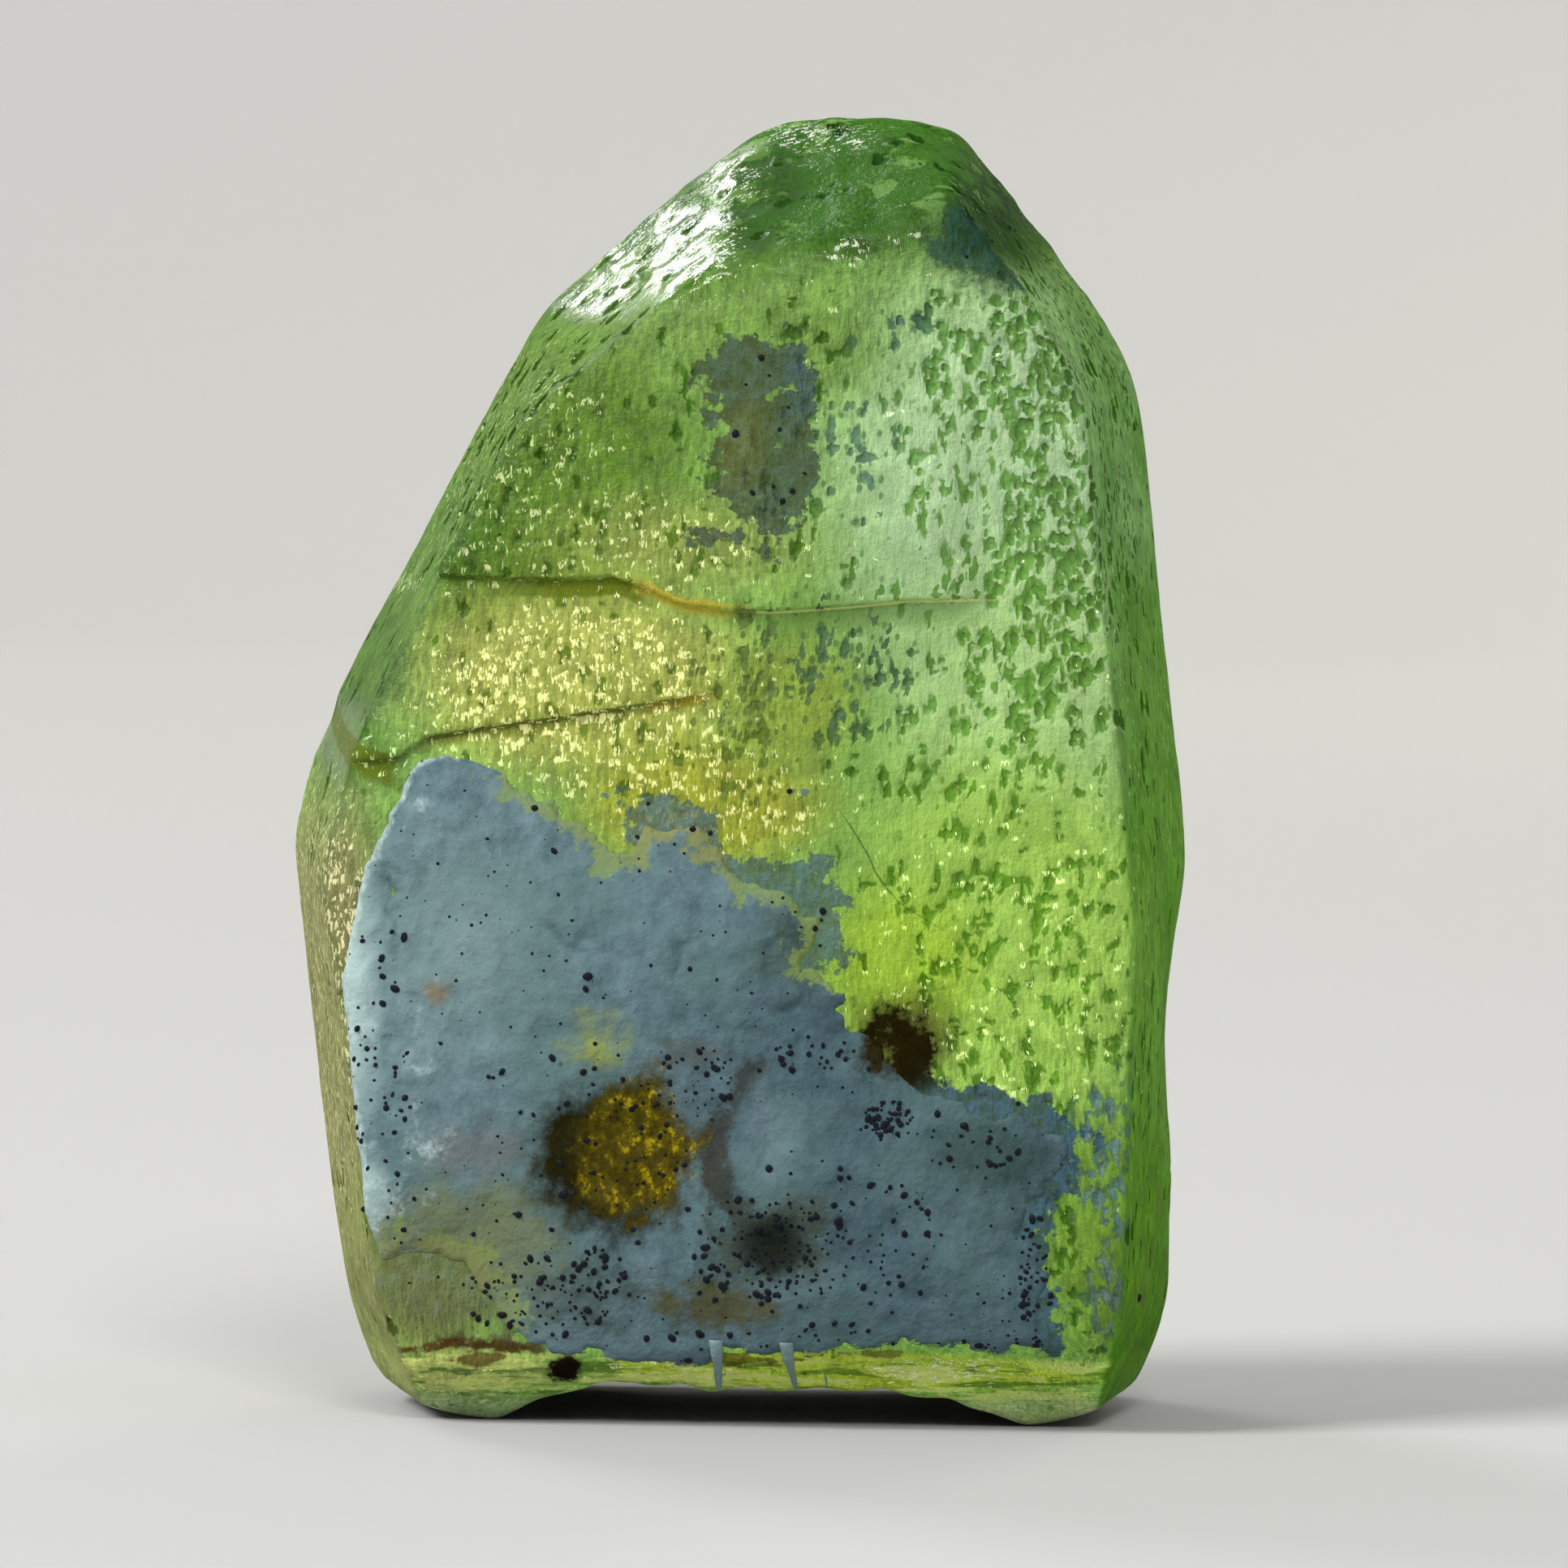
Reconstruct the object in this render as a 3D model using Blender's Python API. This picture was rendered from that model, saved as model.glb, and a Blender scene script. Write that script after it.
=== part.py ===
"""Raw peridot: one etched crystal with a crust of matrix on its front face.

The crystal is a flattened prism with a roof-like tip. Its rim, the outline
seen from the front, is a closed string of corners. From each edge of the rim
one bevel face runs to the front and one to the back, and broad faces close
the prism there. The body is what lies inside all these faces, with their
edges softened. Scoops hollow it and leave four feet under it, growth ledges
step its front, and etch pits roughen it. The crust is a thin plate that
follows the front face in a shallow bed.

X runs to the right, Y to the back, Z up. Sizes are in millimetres until the
meshes are made, and the origin is on the ground under the stone's middle.
"""

import math

import bmesh
import bpy
import numpy as np
from mathutils import Matrix, Vector

MM = 0.001

# ---------------------------------------------------------------- the crystal
HEIGHT = 42.0
WIDTH = 28.9
DEPTH = 18.6
HEART = np.array([0.0, 0.0, 19.5])      # a point well inside the body
RIM_Y = 0.6                             # depth of the rim behind the middle

# Corners of the rim going round from the right foot, and the lean of the
# bevel that starts at each corner: degrees towards the front, towards the back.
RIM = [
    # x, z, front lean, back lean
    (9.60, -0.38, 1.0, 0.5),            # right foot
    (13.25, 0.72, 10.0, 12.0),
    (14.35, 3.60, 11.0, 17.0),          # right side, lower
    (14.66, 19.40, 14.5, 21.0),         # right side, upper
    (12.70, 33.90, 15.0, 24.0),
    (11.10, 36.60, 12.0, 30.0),         # right of the tip
    (6.80, 41.65, 14.0, 36.0),          # tip
    (4.60, 42.35, 12.0, 40.0),
    (0.40, 41.90, 18.0, 33.0),          # glossy face left of the tip
    (-6.55, 35.90, 9.0, 27.0),          # left shoulder
    (-13.50, 22.40, 10.0, 25.0),
    (-14.66, 18.30, 8.5, 19.0),         # left side
    (-12.45, 2.60, 10.0, 14.0),
    (-11.45, 0.58, 1.0, 0.5),           # left foot
    (-7.80, -0.38, 0.0, 0.0),
]

# Broad faces: turn from the front towards +X, lift of the normal, and
# distance from the heart.
BROAD_FACES = [
    (-7.0, 5.0, 8.90),                  # front, left of the middle
    (6.0, 4.5, 8.95),                   # front, right of the middle
    (-2.0, -1.5, 9.25),                 # front, lower
    (-24.7, 57.6, 18.55),               # roof of the tip, in front
    (2.0, -50.0, 18.75),                # band over the feet, in front
    (173.0, 3.5, 8.95),                 # back
    (188.0, 8.0, 9.15),
    (180.0, -4.0, 9.45),
    (180.0, -42.0, 18.4),               # band over the feet, behind
]
GROUND = -0.60                          # below the feet, which their bevels form
EDGE_SHARPNESS = 5.5                    # per mm; higher gives crisper edges

# Scoops: hollows worn or broken out of the body.
# centre x, y, z, half sizes, softness of the lip
SCOOPS = [
    ((-2.6, -6.0, -3.2), (6.6, 26.0, 4.55), 0.20),   # arch between the feet, left
    ((0.4, -1.0, -3.6), (6.4, 30.0, 4.9), 0.20),     # arch, middle
    ((3.6, -4.0, -4.3), (9.2, 28.0, 5.55), 0.20),    # arch, right
    ((-9.4, 0.6, -5.5), (7.4, 4.6, 6.35), 0.25),     # gap between the left feet
    ((10.9, 1.4, -5.6), (8.0, 4.6, 6.5), 0.25),      # gap between the right feet
    ((2.2, 3.6, -7.2), (8.6, 7.6, 9.3), 0.30),       # shell broken out over the arch
    ((-3.4, 1.0, -6.4), (6.6, 6.2, 8.1), 0.30),      # second shell beside it
    ((-16.6, -1.0, 22.5), (3.35, 9.5, 2.1), 0.45),   # notch in the left side
    ((16.3, -1.0, 12.6), (2.35, 9.0, 6.4), 0.60),    # waist in the right side
    ((13.6, -10.9, 17.2), (2.6, 3.0, 4.2), 0.50),    # dent below the right ridge
    ((2.0, 13.0, 24.5), (9.5, 4.3, 5.2), 0.50),      # shallow dish in the back
    ((-13.2, 10.6, 9.5), (4.0, 4.0, 6.0), 0.40),     # chip at the back left
]

# Growth ledges of the front: the layer above the line stands proud of the
# layer below. Line points (x, z), step height, width of the step, and how far
# above the line the proud layer has merged with the face again.
LEDGES = [
    ([(-12.0, 27.1), (-7.8, 27.0), (-5.7, 27.0), (-4.1, 27.1), (-3.1, 26.8), (-2.0, 26.3),
      (-0.4, 26.1), (1.2, 26.1), (3.5, 26.3), (5.3, 26.5), (8.4, 26.6)], 0.34, 0.30, 9.0),
    ([(-12.6, 21.0), (-10.9, 21.2), (-9.9, 21.9), (-8.3, 22.2), (-5.7, 22.6), (-3.0, 23.1),
      (-0.4, 23.6)], 0.24, 0.28, 3.6),
]
LEDGE_FADE = 2.2                        # length over which a ledge runs out
BACK_LEDGE_Z = 16.0                     # one ledge that crosses the back
BACK_LEDGE_RISE = 0.22                  # its climb per mm to the right
BACK_LEDGE_STEP = 0.30

# Ripples of the broken base, in rings round a point at its edge.
RIPPLE_CENTRE = (-11.0, -10.0)
RIPPLE_LENGTH = 2.1
RIPPLE_HEIGHT = 0.06

# Slow waves that keep the faces from being dead flat: height and wave length.
WAVES = [
    (0.06, (11.0, 13.0, 16.0)),
    (0.03, (6.4, 8.6, 7.7)),
]

# Etch pits: upright teardrops, thickest on the right of the front.
PIT_SEED = 11
PIT_COUNT = 150
PIT_DEPTH = 0.26
PIT_HALF_WIDTH = 0.36
PIT_HALF_HEIGHT = 0.66

# ------------------------------------------------------------------ the crust
CRUST_OUTLINE = [
    (-10.4, 20.9), (-8.3, 21.0), (-6.7, 20.3), (-4.6, 19.3), (-3.0, 19.6), (-1.7, 19.3),
    (-0.4, 18.2), (1.2, 17.3), (2.9, 16.3), (2.2, 15.2), (3.0, 13.8), (4.2, 12.5),
    (6.1, 10.8), (8.0, 10.1), (10.2, 9.3), (9.7, 7.8), (9.4, 6.3), (9.8, 4.8),
    (9.5, 3.1), (2.5, 2.75), (-5.3, 2.8), (-8.6, 4.1), (-10.9, 6.2), (-11.6, 9.0),
    (-12.0, 11.8), (-12.3, 14.3), (-12.0, 16.6), (-11.3, 19.0),
]
CRUST_GAP = 0.30                        # between crystal and crust
CRUST_THICK_LEFT = 0.80                 # thickness at its left, broken edge
CRUST_THICK_RIGHT = 0.50                # thickness where it runs out
CRUST_RIM_WIDTH = 0.9                   # the edges are rounded over this width
BED_DEPTH = 0.50                        # how far the crystal is let in under it
BED_MARGIN = 0.20                       # the bed is wider than the crust by this
WINDOW_CENTRE = (-3.3, 8.9)             # thin spot through which crystal shows
WINDOW_HALF = (2.6, 2.4)
WINDOW_DIP = 0.24
CRUST_CELL = 0.42                       # mesh size of the crust
LUMP_SEED = 5
LUMP_COUNT = 46
LUMP_HEIGHT = 0.12

# ----------------------------------------------------------------- the meshes
BLOCK_CUTS = 131                        # fine grid before thinning
CRYSTAL_TRIANGLES = 7800
CRUST_TRIANGLES = 1900
CAST_STEPS = 32                         # halvings when a point is drawn in
FLAT_UNDER = 0.16                       # feet are flat below this


def clear_scene():
    """Remove every object that the scene holds."""
    for thing in list(bpy.data.objects):
        bpy.data.objects.remove(thing, do_unlink=True)


def smooth_step(low, high, value):
    """Rise from 0 to 1 without corners as value goes from low to high."""
    ratio = np.clip((value - low) / (high - low), 0.0, 1.0)
    return ratio * ratio * (3.0 - 2.0 * ratio)


def rim_planes():
    """Return normals and offsets of the two bevels of each rim edge."""
    normals, offsets = [], []
    for index, (x, z, front_lean, back_lean) in enumerate(RIM):
        next_x, next_z = RIM[(index + 1) % len(RIM)][:2]
        length = math.hypot(next_x - x, next_z - z)
        out_x, out_z = (next_z - z) / length, -(next_x - x) / length
        for lean, side in ((front_lean, -1.0), (back_lean, 1.0)):
            angle = math.radians(lean)
            normal = np.array([out_x * math.cos(angle), side * math.sin(angle), out_z * math.cos(angle)])
            normals.append(normal)
            offsets.append(float(normal @ np.array([x, RIM_Y, z])))
    return normals, offsets


def broad_planes():
    """Return normals and offsets of the broad faces and of the ground."""
    normals, offsets = [], []
    for turn, lift, distance in BROAD_FACES:
        turn, lift = math.radians(turn), math.radians(lift)
        level = math.cos(lift)
        normal = np.array([math.sin(turn) * level, -math.cos(turn) * level, math.sin(lift)])
        normals.append(normal)
        offsets.append(float(normal @ HEART) + distance)
    normals.append(np.array([0.0, 0.0, -1.0]))
    offsets.append(-GROUND)
    return normals, offsets


def body_field(points):
    """Signed distance, roughly, from the softened and scooped body."""
    rim_normals, rim_offsets = rim_planes()
    broad_normals, broad_offsets = broad_planes()
    normals = np.array(rim_normals + broad_normals)
    offsets = np.array(rim_offsets + broad_offsets)
    distances = points @ normals.T - offsets
    largest = distances.max(axis=1, keepdims=True)
    spread = np.exp(EDGE_SHARPNESS * (distances - largest)).sum(axis=1)
    field = largest[:, 0] + np.log(spread) / EDGE_SHARPNESS
    for centre, half, lip in SCOOPS:
        scaled = (points - np.array(centre)) / np.array(half)
        reach = np.linalg.norm(scaled, axis=1)
        gradient = np.maximum(np.linalg.norm(scaled / np.array(half), axis=1), 1e-6)
        inside = -reach * (reach - 1.0) / gradient
        field = soft_max(field, inside, lip)
    return field


def soft_max(first, second, lip):
    """Return the larger of two fields, blended over the width of the lip."""
    blend = np.maximum(lip - np.abs(first - second), 0.0) / lip
    return np.maximum(first, second) + blend * blend * lip * 0.25


def draw_in(directions):
    """Find where lines from the heart leave the body."""
    near = np.full(len(directions), 2.0)
    far = np.full(len(directions), 40.0)
    for _ in range(CAST_STEPS):
        middle = 0.5 * (near + far)
        outside = body_field(HEART + directions * middle[:, None]) > 0.0
        far = np.where(outside, middle, far)
        near = np.where(outside, near, middle)
    return HEART + directions * near[:, None]


def surface_normals(points):
    """Return the outward normals of the body at points on its surface."""
    step = 0.02
    slopes = [body_field(points + offset) - body_field(points - offset) for offset in np.eye(3) * step]
    normals = np.stack(slopes, axis=1)
    return normals / np.linalg.norm(normals, axis=1, keepdims=True)


def outline_distance(x, z, outline):
    """Signed distance from a closed outline, positive inside it."""
    corners = np.array(outline)
    nearest = np.full(x.shape, 1e9)
    inside = np.zeros(x.shape, dtype=bool)
    for (ax, az), (bx, bz) in zip(corners, np.roll(corners, -1, axis=0)):
        span = (bx - ax) ** 2 + (bz - az) ** 2
        along = np.clip(((x - ax) * (bx - ax) + (z - az) * (bz - az)) / span, 0.0, 1.0)
        gap = np.hypot(x - ax - along * (bx - ax), z - az - along * (bz - az))
        nearest = np.minimum(nearest, gap)
        crosses = ((az > z) != (bz > z)) & (x < (bx - ax) * (z - az) / (bz - az + 1e-12) + ax)
        inside ^= crosses
    return np.where(inside, nearest, -nearest)


def ledge_height(x, z, line, step, width, reach):
    """Height of one growth ledge over the front face."""
    points = np.array(line)
    level = np.interp(x, points[:, 0], points[:, 1])
    over = z - level
    rise = smooth_step(-0.5 * width, 0.5 * width, over)
    fall = 1.0 - smooth_step(0.4, reach, over)
    ends = smooth_step(points[0, 0] - 0.5, points[0, 0] + 0.5, x)
    ends = ends * (1.0 - smooth_step(points[-1, 0] - LEDGE_FADE, points[-1, 0], x))
    return step * rise * fall * ends


def front_relief(points, normals):
    """Relief of the front face: the ledges and the bed of the crust."""
    x, z = points[:, 0], points[:, 2]
    relief = np.zeros(x.shape)
    for ledge in LEDGES:
        relief = relief + ledge_height(x, z, *ledge)
    bed = outline_distance(x, z, CRUST_OUTLINE)
    relief = relief - BED_DEPTH * smooth_step(-BED_MARGIN - 0.35, -BED_MARGIN, bed)
    return relief * smooth_step(0.35, 0.8, -normals[:, 1])


def back_relief(x, z):
    """Relief of the back face: one ledge that climbs to the right."""
    over = z - BACK_LEDGE_Z - BACK_LEDGE_RISE * x
    return BACK_LEDGE_STEP * smooth_step(-0.15, 0.15, over) * (1.0 - smooth_step(0.5, 5.0, over))


def wave_relief(points):
    """Slow waves over the whole crystal."""
    relief = np.zeros(len(points))
    for number, (height, lengths) in enumerate(WAVES):
        phase = points * (2.0 * math.pi) / np.array(lengths) + 1.7 * number
        relief += height * np.sin(phase[:, 0] + 0.6 * phase[:, 1]) * np.cos(phase[:, 2] - 0.4 * phase[:, 1])
    return relief


def ripple_relief(points, normals):
    """Rings of low ripples over the broken base."""
    away = np.hypot(points[:, 0] - RIPPLE_CENTRE[0], points[:, 1] - RIPPLE_CENTRE[1])
    below = smooth_step(0.82, 0.95, -normals[:, 2])
    return RIPPLE_HEIGHT * np.sin(away * 2.0 * math.pi / RIPPLE_LENGTH) * below


def pit_places(points, normals):
    """Choose where the etch pits sit among the surface points."""
    x, z = points[:, 0], points[:, 2]
    front = smooth_step(0.6, 0.9, -normals[:, 1])
    favour = 0.25 + 0.75 * smooth_step(0.0, 9.0, x) * smooth_step(12.0, 24.0, z)
    clear = 1.0 - smooth_step(-1.2, -0.6, outline_distance(x, z, CRUST_OUTLINE))
    chance = front * favour * clear + 0.22 * (1.0 - front)
    chance = chance * smooth_step(2.5, 4.0, z)
    chance = chance / chance.sum()
    chooser = np.random.default_rng(PIT_SEED)
    chosen = chooser.choice(len(points), size=PIT_COUNT, replace=False, p=chance)
    return points[chosen], chooser.uniform(0.55, 1.0, PIT_COUNT)


def pit_relief(points, normals):
    """Depth of the etch pits at each surface point."""
    centres, sizes = pit_places(points, normals)
    relief = np.zeros(len(points))
    for centre, size in zip(centres, sizes):
        away = points - centre
        across = (away[:, 0] ** 2 + away[:, 1] ** 2) / (PIT_HALF_WIDTH * size) ** 2
        along = (away[:, 2] / (PIT_HALF_HEIGHT * size)) ** 2
        relief -= PIT_DEPTH * size * np.exp(-across - along)
    return np.maximum(relief, -1.3 * PIT_DEPTH)


def mesh_object(name, vertices, faces, material):
    """Make an object from vertices in millimetres."""
    mesh = bpy.data.meshes.new(name)
    mesh.from_pydata([tuple(vertex) for vertex in vertices * MM], [], faces)
    mesh.materials.append(material)
    thing = bpy.data.objects.new(name, mesh)
    bpy.context.scene.collection.objects.link(thing)
    return thing


def thin_out(thing, triangles):
    """Reduce an object's mesh to about the given number of triangles."""
    before = sum(len(polygon.vertices) - 2 for polygon in thing.data.polygons)
    thinner = thing.modifiers.new("thin", "DECIMATE")
    thinner.decimate_type = "COLLAPSE"
    thinner.ratio = min(1.0, triangles / before)
    thinner.use_collapse_triangulate = True
    bpy.context.view_layer.update()
    reduced = bpy.data.meshes.new_from_object(thing.evaluated_get(bpy.context.evaluated_depsgraph_get()))
    thing.modifiers.remove(thinner)
    thing.data = reduced
    reduced.name = thing.name


def block_grid():
    """Return vertices and faces of a block cut into a fine grid."""
    block = bmesh.new()
    bmesh.ops.create_cube(block, size=2.0)
    bmesh.ops.subdivide_edges(block, edges=block.edges[:], cuts=BLOCK_CUTS, use_grid_fill=True)
    block.verts.ensure_lookup_table()
    vertices = np.array([vertex.co[:] for vertex in block.verts])
    faces = [[vertex.index for vertex in face.verts] for face in block.faces]
    block.free()
    return vertices, faces


def build_crystal(material):
    """Make the crystal: a block drawn in to its faces, then given its relief."""
    vertices, faces = block_grid()
    half = np.array([WIDTH, DEPTH, HEIGHT]) * 0.5
    centre = np.array([0.0, 0.0, HEIGHT * 0.5])
    directions = centre + vertices * half - HEART
    directions /= np.linalg.norm(directions, axis=1, keepdims=True)
    points = draw_in(directions)
    normals = surface_normals(points)
    x, z = points[:, 0], points[:, 2]
    relief = pit_relief(points, normals) + wave_relief(points)
    relief += front_relief(points, normals)
    relief += back_relief(x, z) * smooth_step(0.35, 0.8, normals[:, 1])
    relief = relief * smooth_step(0.2, 1.4, z) + ripple_relief(points, normals) * smooth_step(0.3, 0.8, z)
    points = points + normals * relief[:, None]
    crystal = mesh_object("peridot_crystal", points, faces, material)
    thin_out(crystal, CRYSTAL_TRIANGLES)
    lowest = min(vertex.co.z for vertex in crystal.data.vertices)
    for vertex in crystal.data.vertices:
        vertex.co.z = max(vertex.co.z, lowest + FLAT_UNDER * MM)
    return crystal


def front_depth(x, z):
    """Depth Y of the body's front face, without relief, over (x, z)."""
    near = np.full(x.shape, -14.0)
    far = np.full(x.shape, -1.0)
    for _ in range(CAST_STEPS):
        middle = 0.5 * (near + far)
        outside = body_field(np.stack([x, middle, z], axis=1)) > 0.0
        near = np.where(outside, middle, near)
        far = np.where(outside, far, middle)
    return far


def nearest_on_outline(x, z, outline):
    """Return the outline's point nearest to each place."""
    corners = np.array(outline)
    best = np.full(x.shape, 1e9)
    near_x, near_z = x.copy(), z.copy()
    for (ax, az), (bx, bz) in zip(corners, np.roll(corners, -1, axis=0)):
        span = (bx - ax) ** 2 + (bz - az) ** 2
        along = np.clip(((x - ax) * (bx - ax) + (z - az) * (bz - az)) / span, 0.0, 1.0)
        foot_x, foot_z = ax + along * (bx - ax), az + along * (bz - az)
        gap = np.hypot(x - foot_x, z - foot_z)
        closer = gap < best
        best = np.where(closer, gap, best)
        near_x, near_z = np.where(closer, foot_x, near_x), np.where(closer, foot_z, near_z)
    return near_x, near_z


def crust_grid():
    """Return grid places inside the crust's outline, and their cells."""
    corners = np.array(CRUST_OUTLINE)
    low, high = corners.min(axis=0), corners.max(axis=0)
    counts = np.ceil((high - low) / CRUST_CELL).astype(int) + 1
    xs = low[0] + CRUST_CELL * np.arange(counts[0])
    zs = low[1] + CRUST_CELL * np.arange(counts[1])
    x, z = np.meshgrid(xs, zs, indexing="ij")
    kept = outline_distance(x.ravel(), z.ravel(), CRUST_OUTLINE).reshape(x.shape) > 0.0
    cells = []
    for column in range(counts[0] - 1):
        for row in range(counts[1] - 1):
            if kept[column:column + 2, row:row + 2].all():
                start = column * counts[1] + row
                cells.append((start, start + counts[1], start + counts[1] + 1, start + 1))
    return x.ravel(), z.ravel(), cells


def crust_thickness(x, z):
    """Thickness of the crust: a high left edge, a thin right, lumps, a dip."""
    edge = outline_distance(x, z, CRUST_OUTLINE)
    across = smooth_step(-12.5, 4.0, x)
    thickness = CRUST_THICK_LEFT + (CRUST_THICK_RIGHT - CRUST_THICK_LEFT) * across
    chooser = np.random.default_rng(LUMP_SEED)
    for _ in range(LUMP_COUNT):
        lump_x, lump_z = chooser.uniform(-12.0, 9.0), chooser.uniform(3.0, 20.0)
        size, height = chooser.uniform(0.8, 2.0), chooser.uniform(-1.0, 1.0)
        spread = ((x - lump_x) ** 2 + (z - lump_z) ** 2) / size ** 2
        thickness = thickness + LUMP_HEIGHT * height * np.exp(-spread)
    window = np.hypot((x - WINDOW_CENTRE[0]) / WINDOW_HALF[0], (z - WINDOW_CENTRE[1]) / WINDOW_HALF[1])
    thickness = thickness - WINDOW_DIP * (1.0 - smooth_step(0.2, 1.25, window))
    shoulder = 0.45 + 0.55 * smooth_step(0.0, CRUST_RIM_WIDTH, edge)
    return np.maximum(thickness, 0.28) * shoulder


def build_crust(material):
    """Make the crust: a plate over the crystal's bed, closed round its edge."""
    x, z, cells = crust_grid()
    used = sorted({index for cell in cells for index in cell})
    place = {index: number for number, index in enumerate(used)}
    x, z = x[used], z[used]
    faces = [[place[index] for index in cell] for cell in cells]
    edges = {(face[i], face[(i + 1) % 4]) for face in faces for i in range(4)}
    border = sorted((a, b) for a, b in edges if (b, a) not in edges)
    rim = sorted({a for a, _ in border})
    x[rim], z[rim] = nearest_on_outline(x[rim], z[rim], CRUST_OUTLINE)
    bed = np.stack([x, front_depth(x, z), z], axis=1)
    normals = surface_normals(bed)
    under = bed + normals * (front_relief(bed, normals) + wave_relief(bed) + CRUST_GAP)[:, None]
    over = under + normals * crust_thickness(x, z)[:, None]
    count = len(used)
    vertices = np.concatenate([over, under])
    walls = [[b, a, a + count, b + count] for a, b in border]
    backs = [[index + count for index in reversed(face)] for face in faces]
    crust = mesh_object("matrix_crust", vertices, faces + backs + walls, material)
    thin_out(crust, CRUST_TRIANGLES)
    return crust


def stand_on_origin(things):
    """Move the meshes so that the ground under their middle is the origin."""
    corners = np.array([vertex.co[:] for thing in things for vertex in thing.data.vertices])
    low, high = corners.min(axis=0), corners.max(axis=0)
    middle = Vector(((low[0] + high[0]) / 2.0, (low[1] + high[1]) / 2.0, low[2]))
    for thing in things:
        thing.data.transform(Matrix.Translation(-middle))


def plain_material(name, colour, roughness, transmission=0.0, ior=1.5):
    """Make a Principled material with plain values."""
    material = bpy.data.materials.new(name)
    material.use_nodes = True
    shader = material.node_tree.nodes["Principled BSDF"]
    shader.inputs["Base Color"].default_value = (*colour, 1.0)
    shader.inputs["Roughness"].default_value = roughness
    shader.inputs["Metallic"].default_value = 0.0
    shader.inputs["Transmission Weight"].default_value = transmission
    shader.inputs["IOR"].default_value = ior
    material.diffuse_color = (*colour, 1.0)
    return material


def main():
    """Build the crystal and its crust."""
    clear_scene()
    peridot = plain_material("peridot", (0.42, 0.66, 0.22), 0.22, transmission=0.7, ior=1.67)
    matrix = plain_material("matrix", (0.50, 0.58, 0.60), 0.85)
    crystal = build_crystal(peridot)
    crust = build_crust(matrix)
    stand_on_origin([crystal, crust])


main()
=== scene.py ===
"""Raw peridot: one etched crystal with a crust of pale matrix on its front face, dressed for the studio."""

import logging
import math
from dataclasses import dataclass, field
from enum import Enum
from functools import partialmethod
from typing import Optional, Sequence, Union

import bpy
import numpy as np
from mathutils import Matrix, Vector
from mathutils.kdtree import KDTree


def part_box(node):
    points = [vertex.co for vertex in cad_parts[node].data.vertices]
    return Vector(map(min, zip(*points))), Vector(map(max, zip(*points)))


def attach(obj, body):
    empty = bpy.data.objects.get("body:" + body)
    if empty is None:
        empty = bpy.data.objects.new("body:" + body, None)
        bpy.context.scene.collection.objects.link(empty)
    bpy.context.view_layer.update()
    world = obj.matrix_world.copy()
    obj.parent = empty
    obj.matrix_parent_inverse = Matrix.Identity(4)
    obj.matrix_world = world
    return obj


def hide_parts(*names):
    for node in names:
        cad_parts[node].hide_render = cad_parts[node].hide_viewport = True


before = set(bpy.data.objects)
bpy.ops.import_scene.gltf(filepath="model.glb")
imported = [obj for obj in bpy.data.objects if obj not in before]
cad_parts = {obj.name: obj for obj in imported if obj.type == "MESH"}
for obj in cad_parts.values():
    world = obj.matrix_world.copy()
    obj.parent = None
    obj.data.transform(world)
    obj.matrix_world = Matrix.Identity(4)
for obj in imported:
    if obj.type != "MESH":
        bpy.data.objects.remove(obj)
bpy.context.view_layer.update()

MM = 0.001
CURVE_SPAN = 50.0      # millimetres that a line's curve covers, half to each side
SLOPE_STEP = 0.02      # millimetres between the two places that a slope is read from
HALVINGS = 20          # times that a search for the surface halves its range
LOG = logging.getLogger("peridot")

Array = np.ndarray
Pair = tuple[float, float]
Triple = tuple[float, float, float]
Socket = bpy.types.NodeSocket
Feed = Union[float, Triple, tuple, Socket]

# Lines across the front face, in the front view: (x, z) in millimetres.
UPPER_LEDGE: tuple[Pair, ...] = (
    (-12.0, 27.1), (-7.8, 27.0), (-5.7, 27.0), (-4.1, 27.1), (-3.1, 26.8), (-2.0, 26.3), (-0.4, 26.1),
    (1.2, 26.1), (3.5, 26.3), (5.3, 26.5), (8.4, 26.6),
)
LOWER_LEDGE: tuple[Pair, ...] = (
    (-12.6, 21.0), (-10.9, 21.2), (-9.9, 21.9), (-8.3, 22.2), (-5.7, 22.6), (-3.0, 23.1), (-0.4, 23.6),
)
NOTCH_LINE: tuple[Pair, ...] = ((-13.8, 23.4), (-13.3, 22.1), (-12.8, 21.3), (-12.0, 20.7), (-10.9, 20.4))


# ------------------------------------------------------------------ numbers
def paint(red: int, green: int, blue: int) -> Triple:
    """Return a colour, given in the usual steps from 0 to 255, as amounts of light."""
    steps = np.array([red, green, blue]) / 255.0
    lit = np.where(steps > 0.04045, ((steps + 0.055) / 1.055) ** 2.4, steps / 12.92)
    return (float(lit[0]), float(lit[1]), float(lit[2]))


def smooth_step(low: float, high: float, value: Array) -> Array:
    """Rise from 0 to 1 without corners as value goes from low to high, which may be lower than low."""
    ratio = np.clip((value - low) / (high - low), 0.0, 1.0)
    return ratio * ratio * (3.0 - 2.0 * ratio)


def soft_max(first: Array, second: Array, lip: float) -> Array:
    """Return the larger of two fields, blended over the width of the lip."""
    blend = np.maximum(lip - np.abs(first - second), 0.0) / lip
    return np.maximum(first, second) + blend * blend * lip * 0.25


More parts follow.
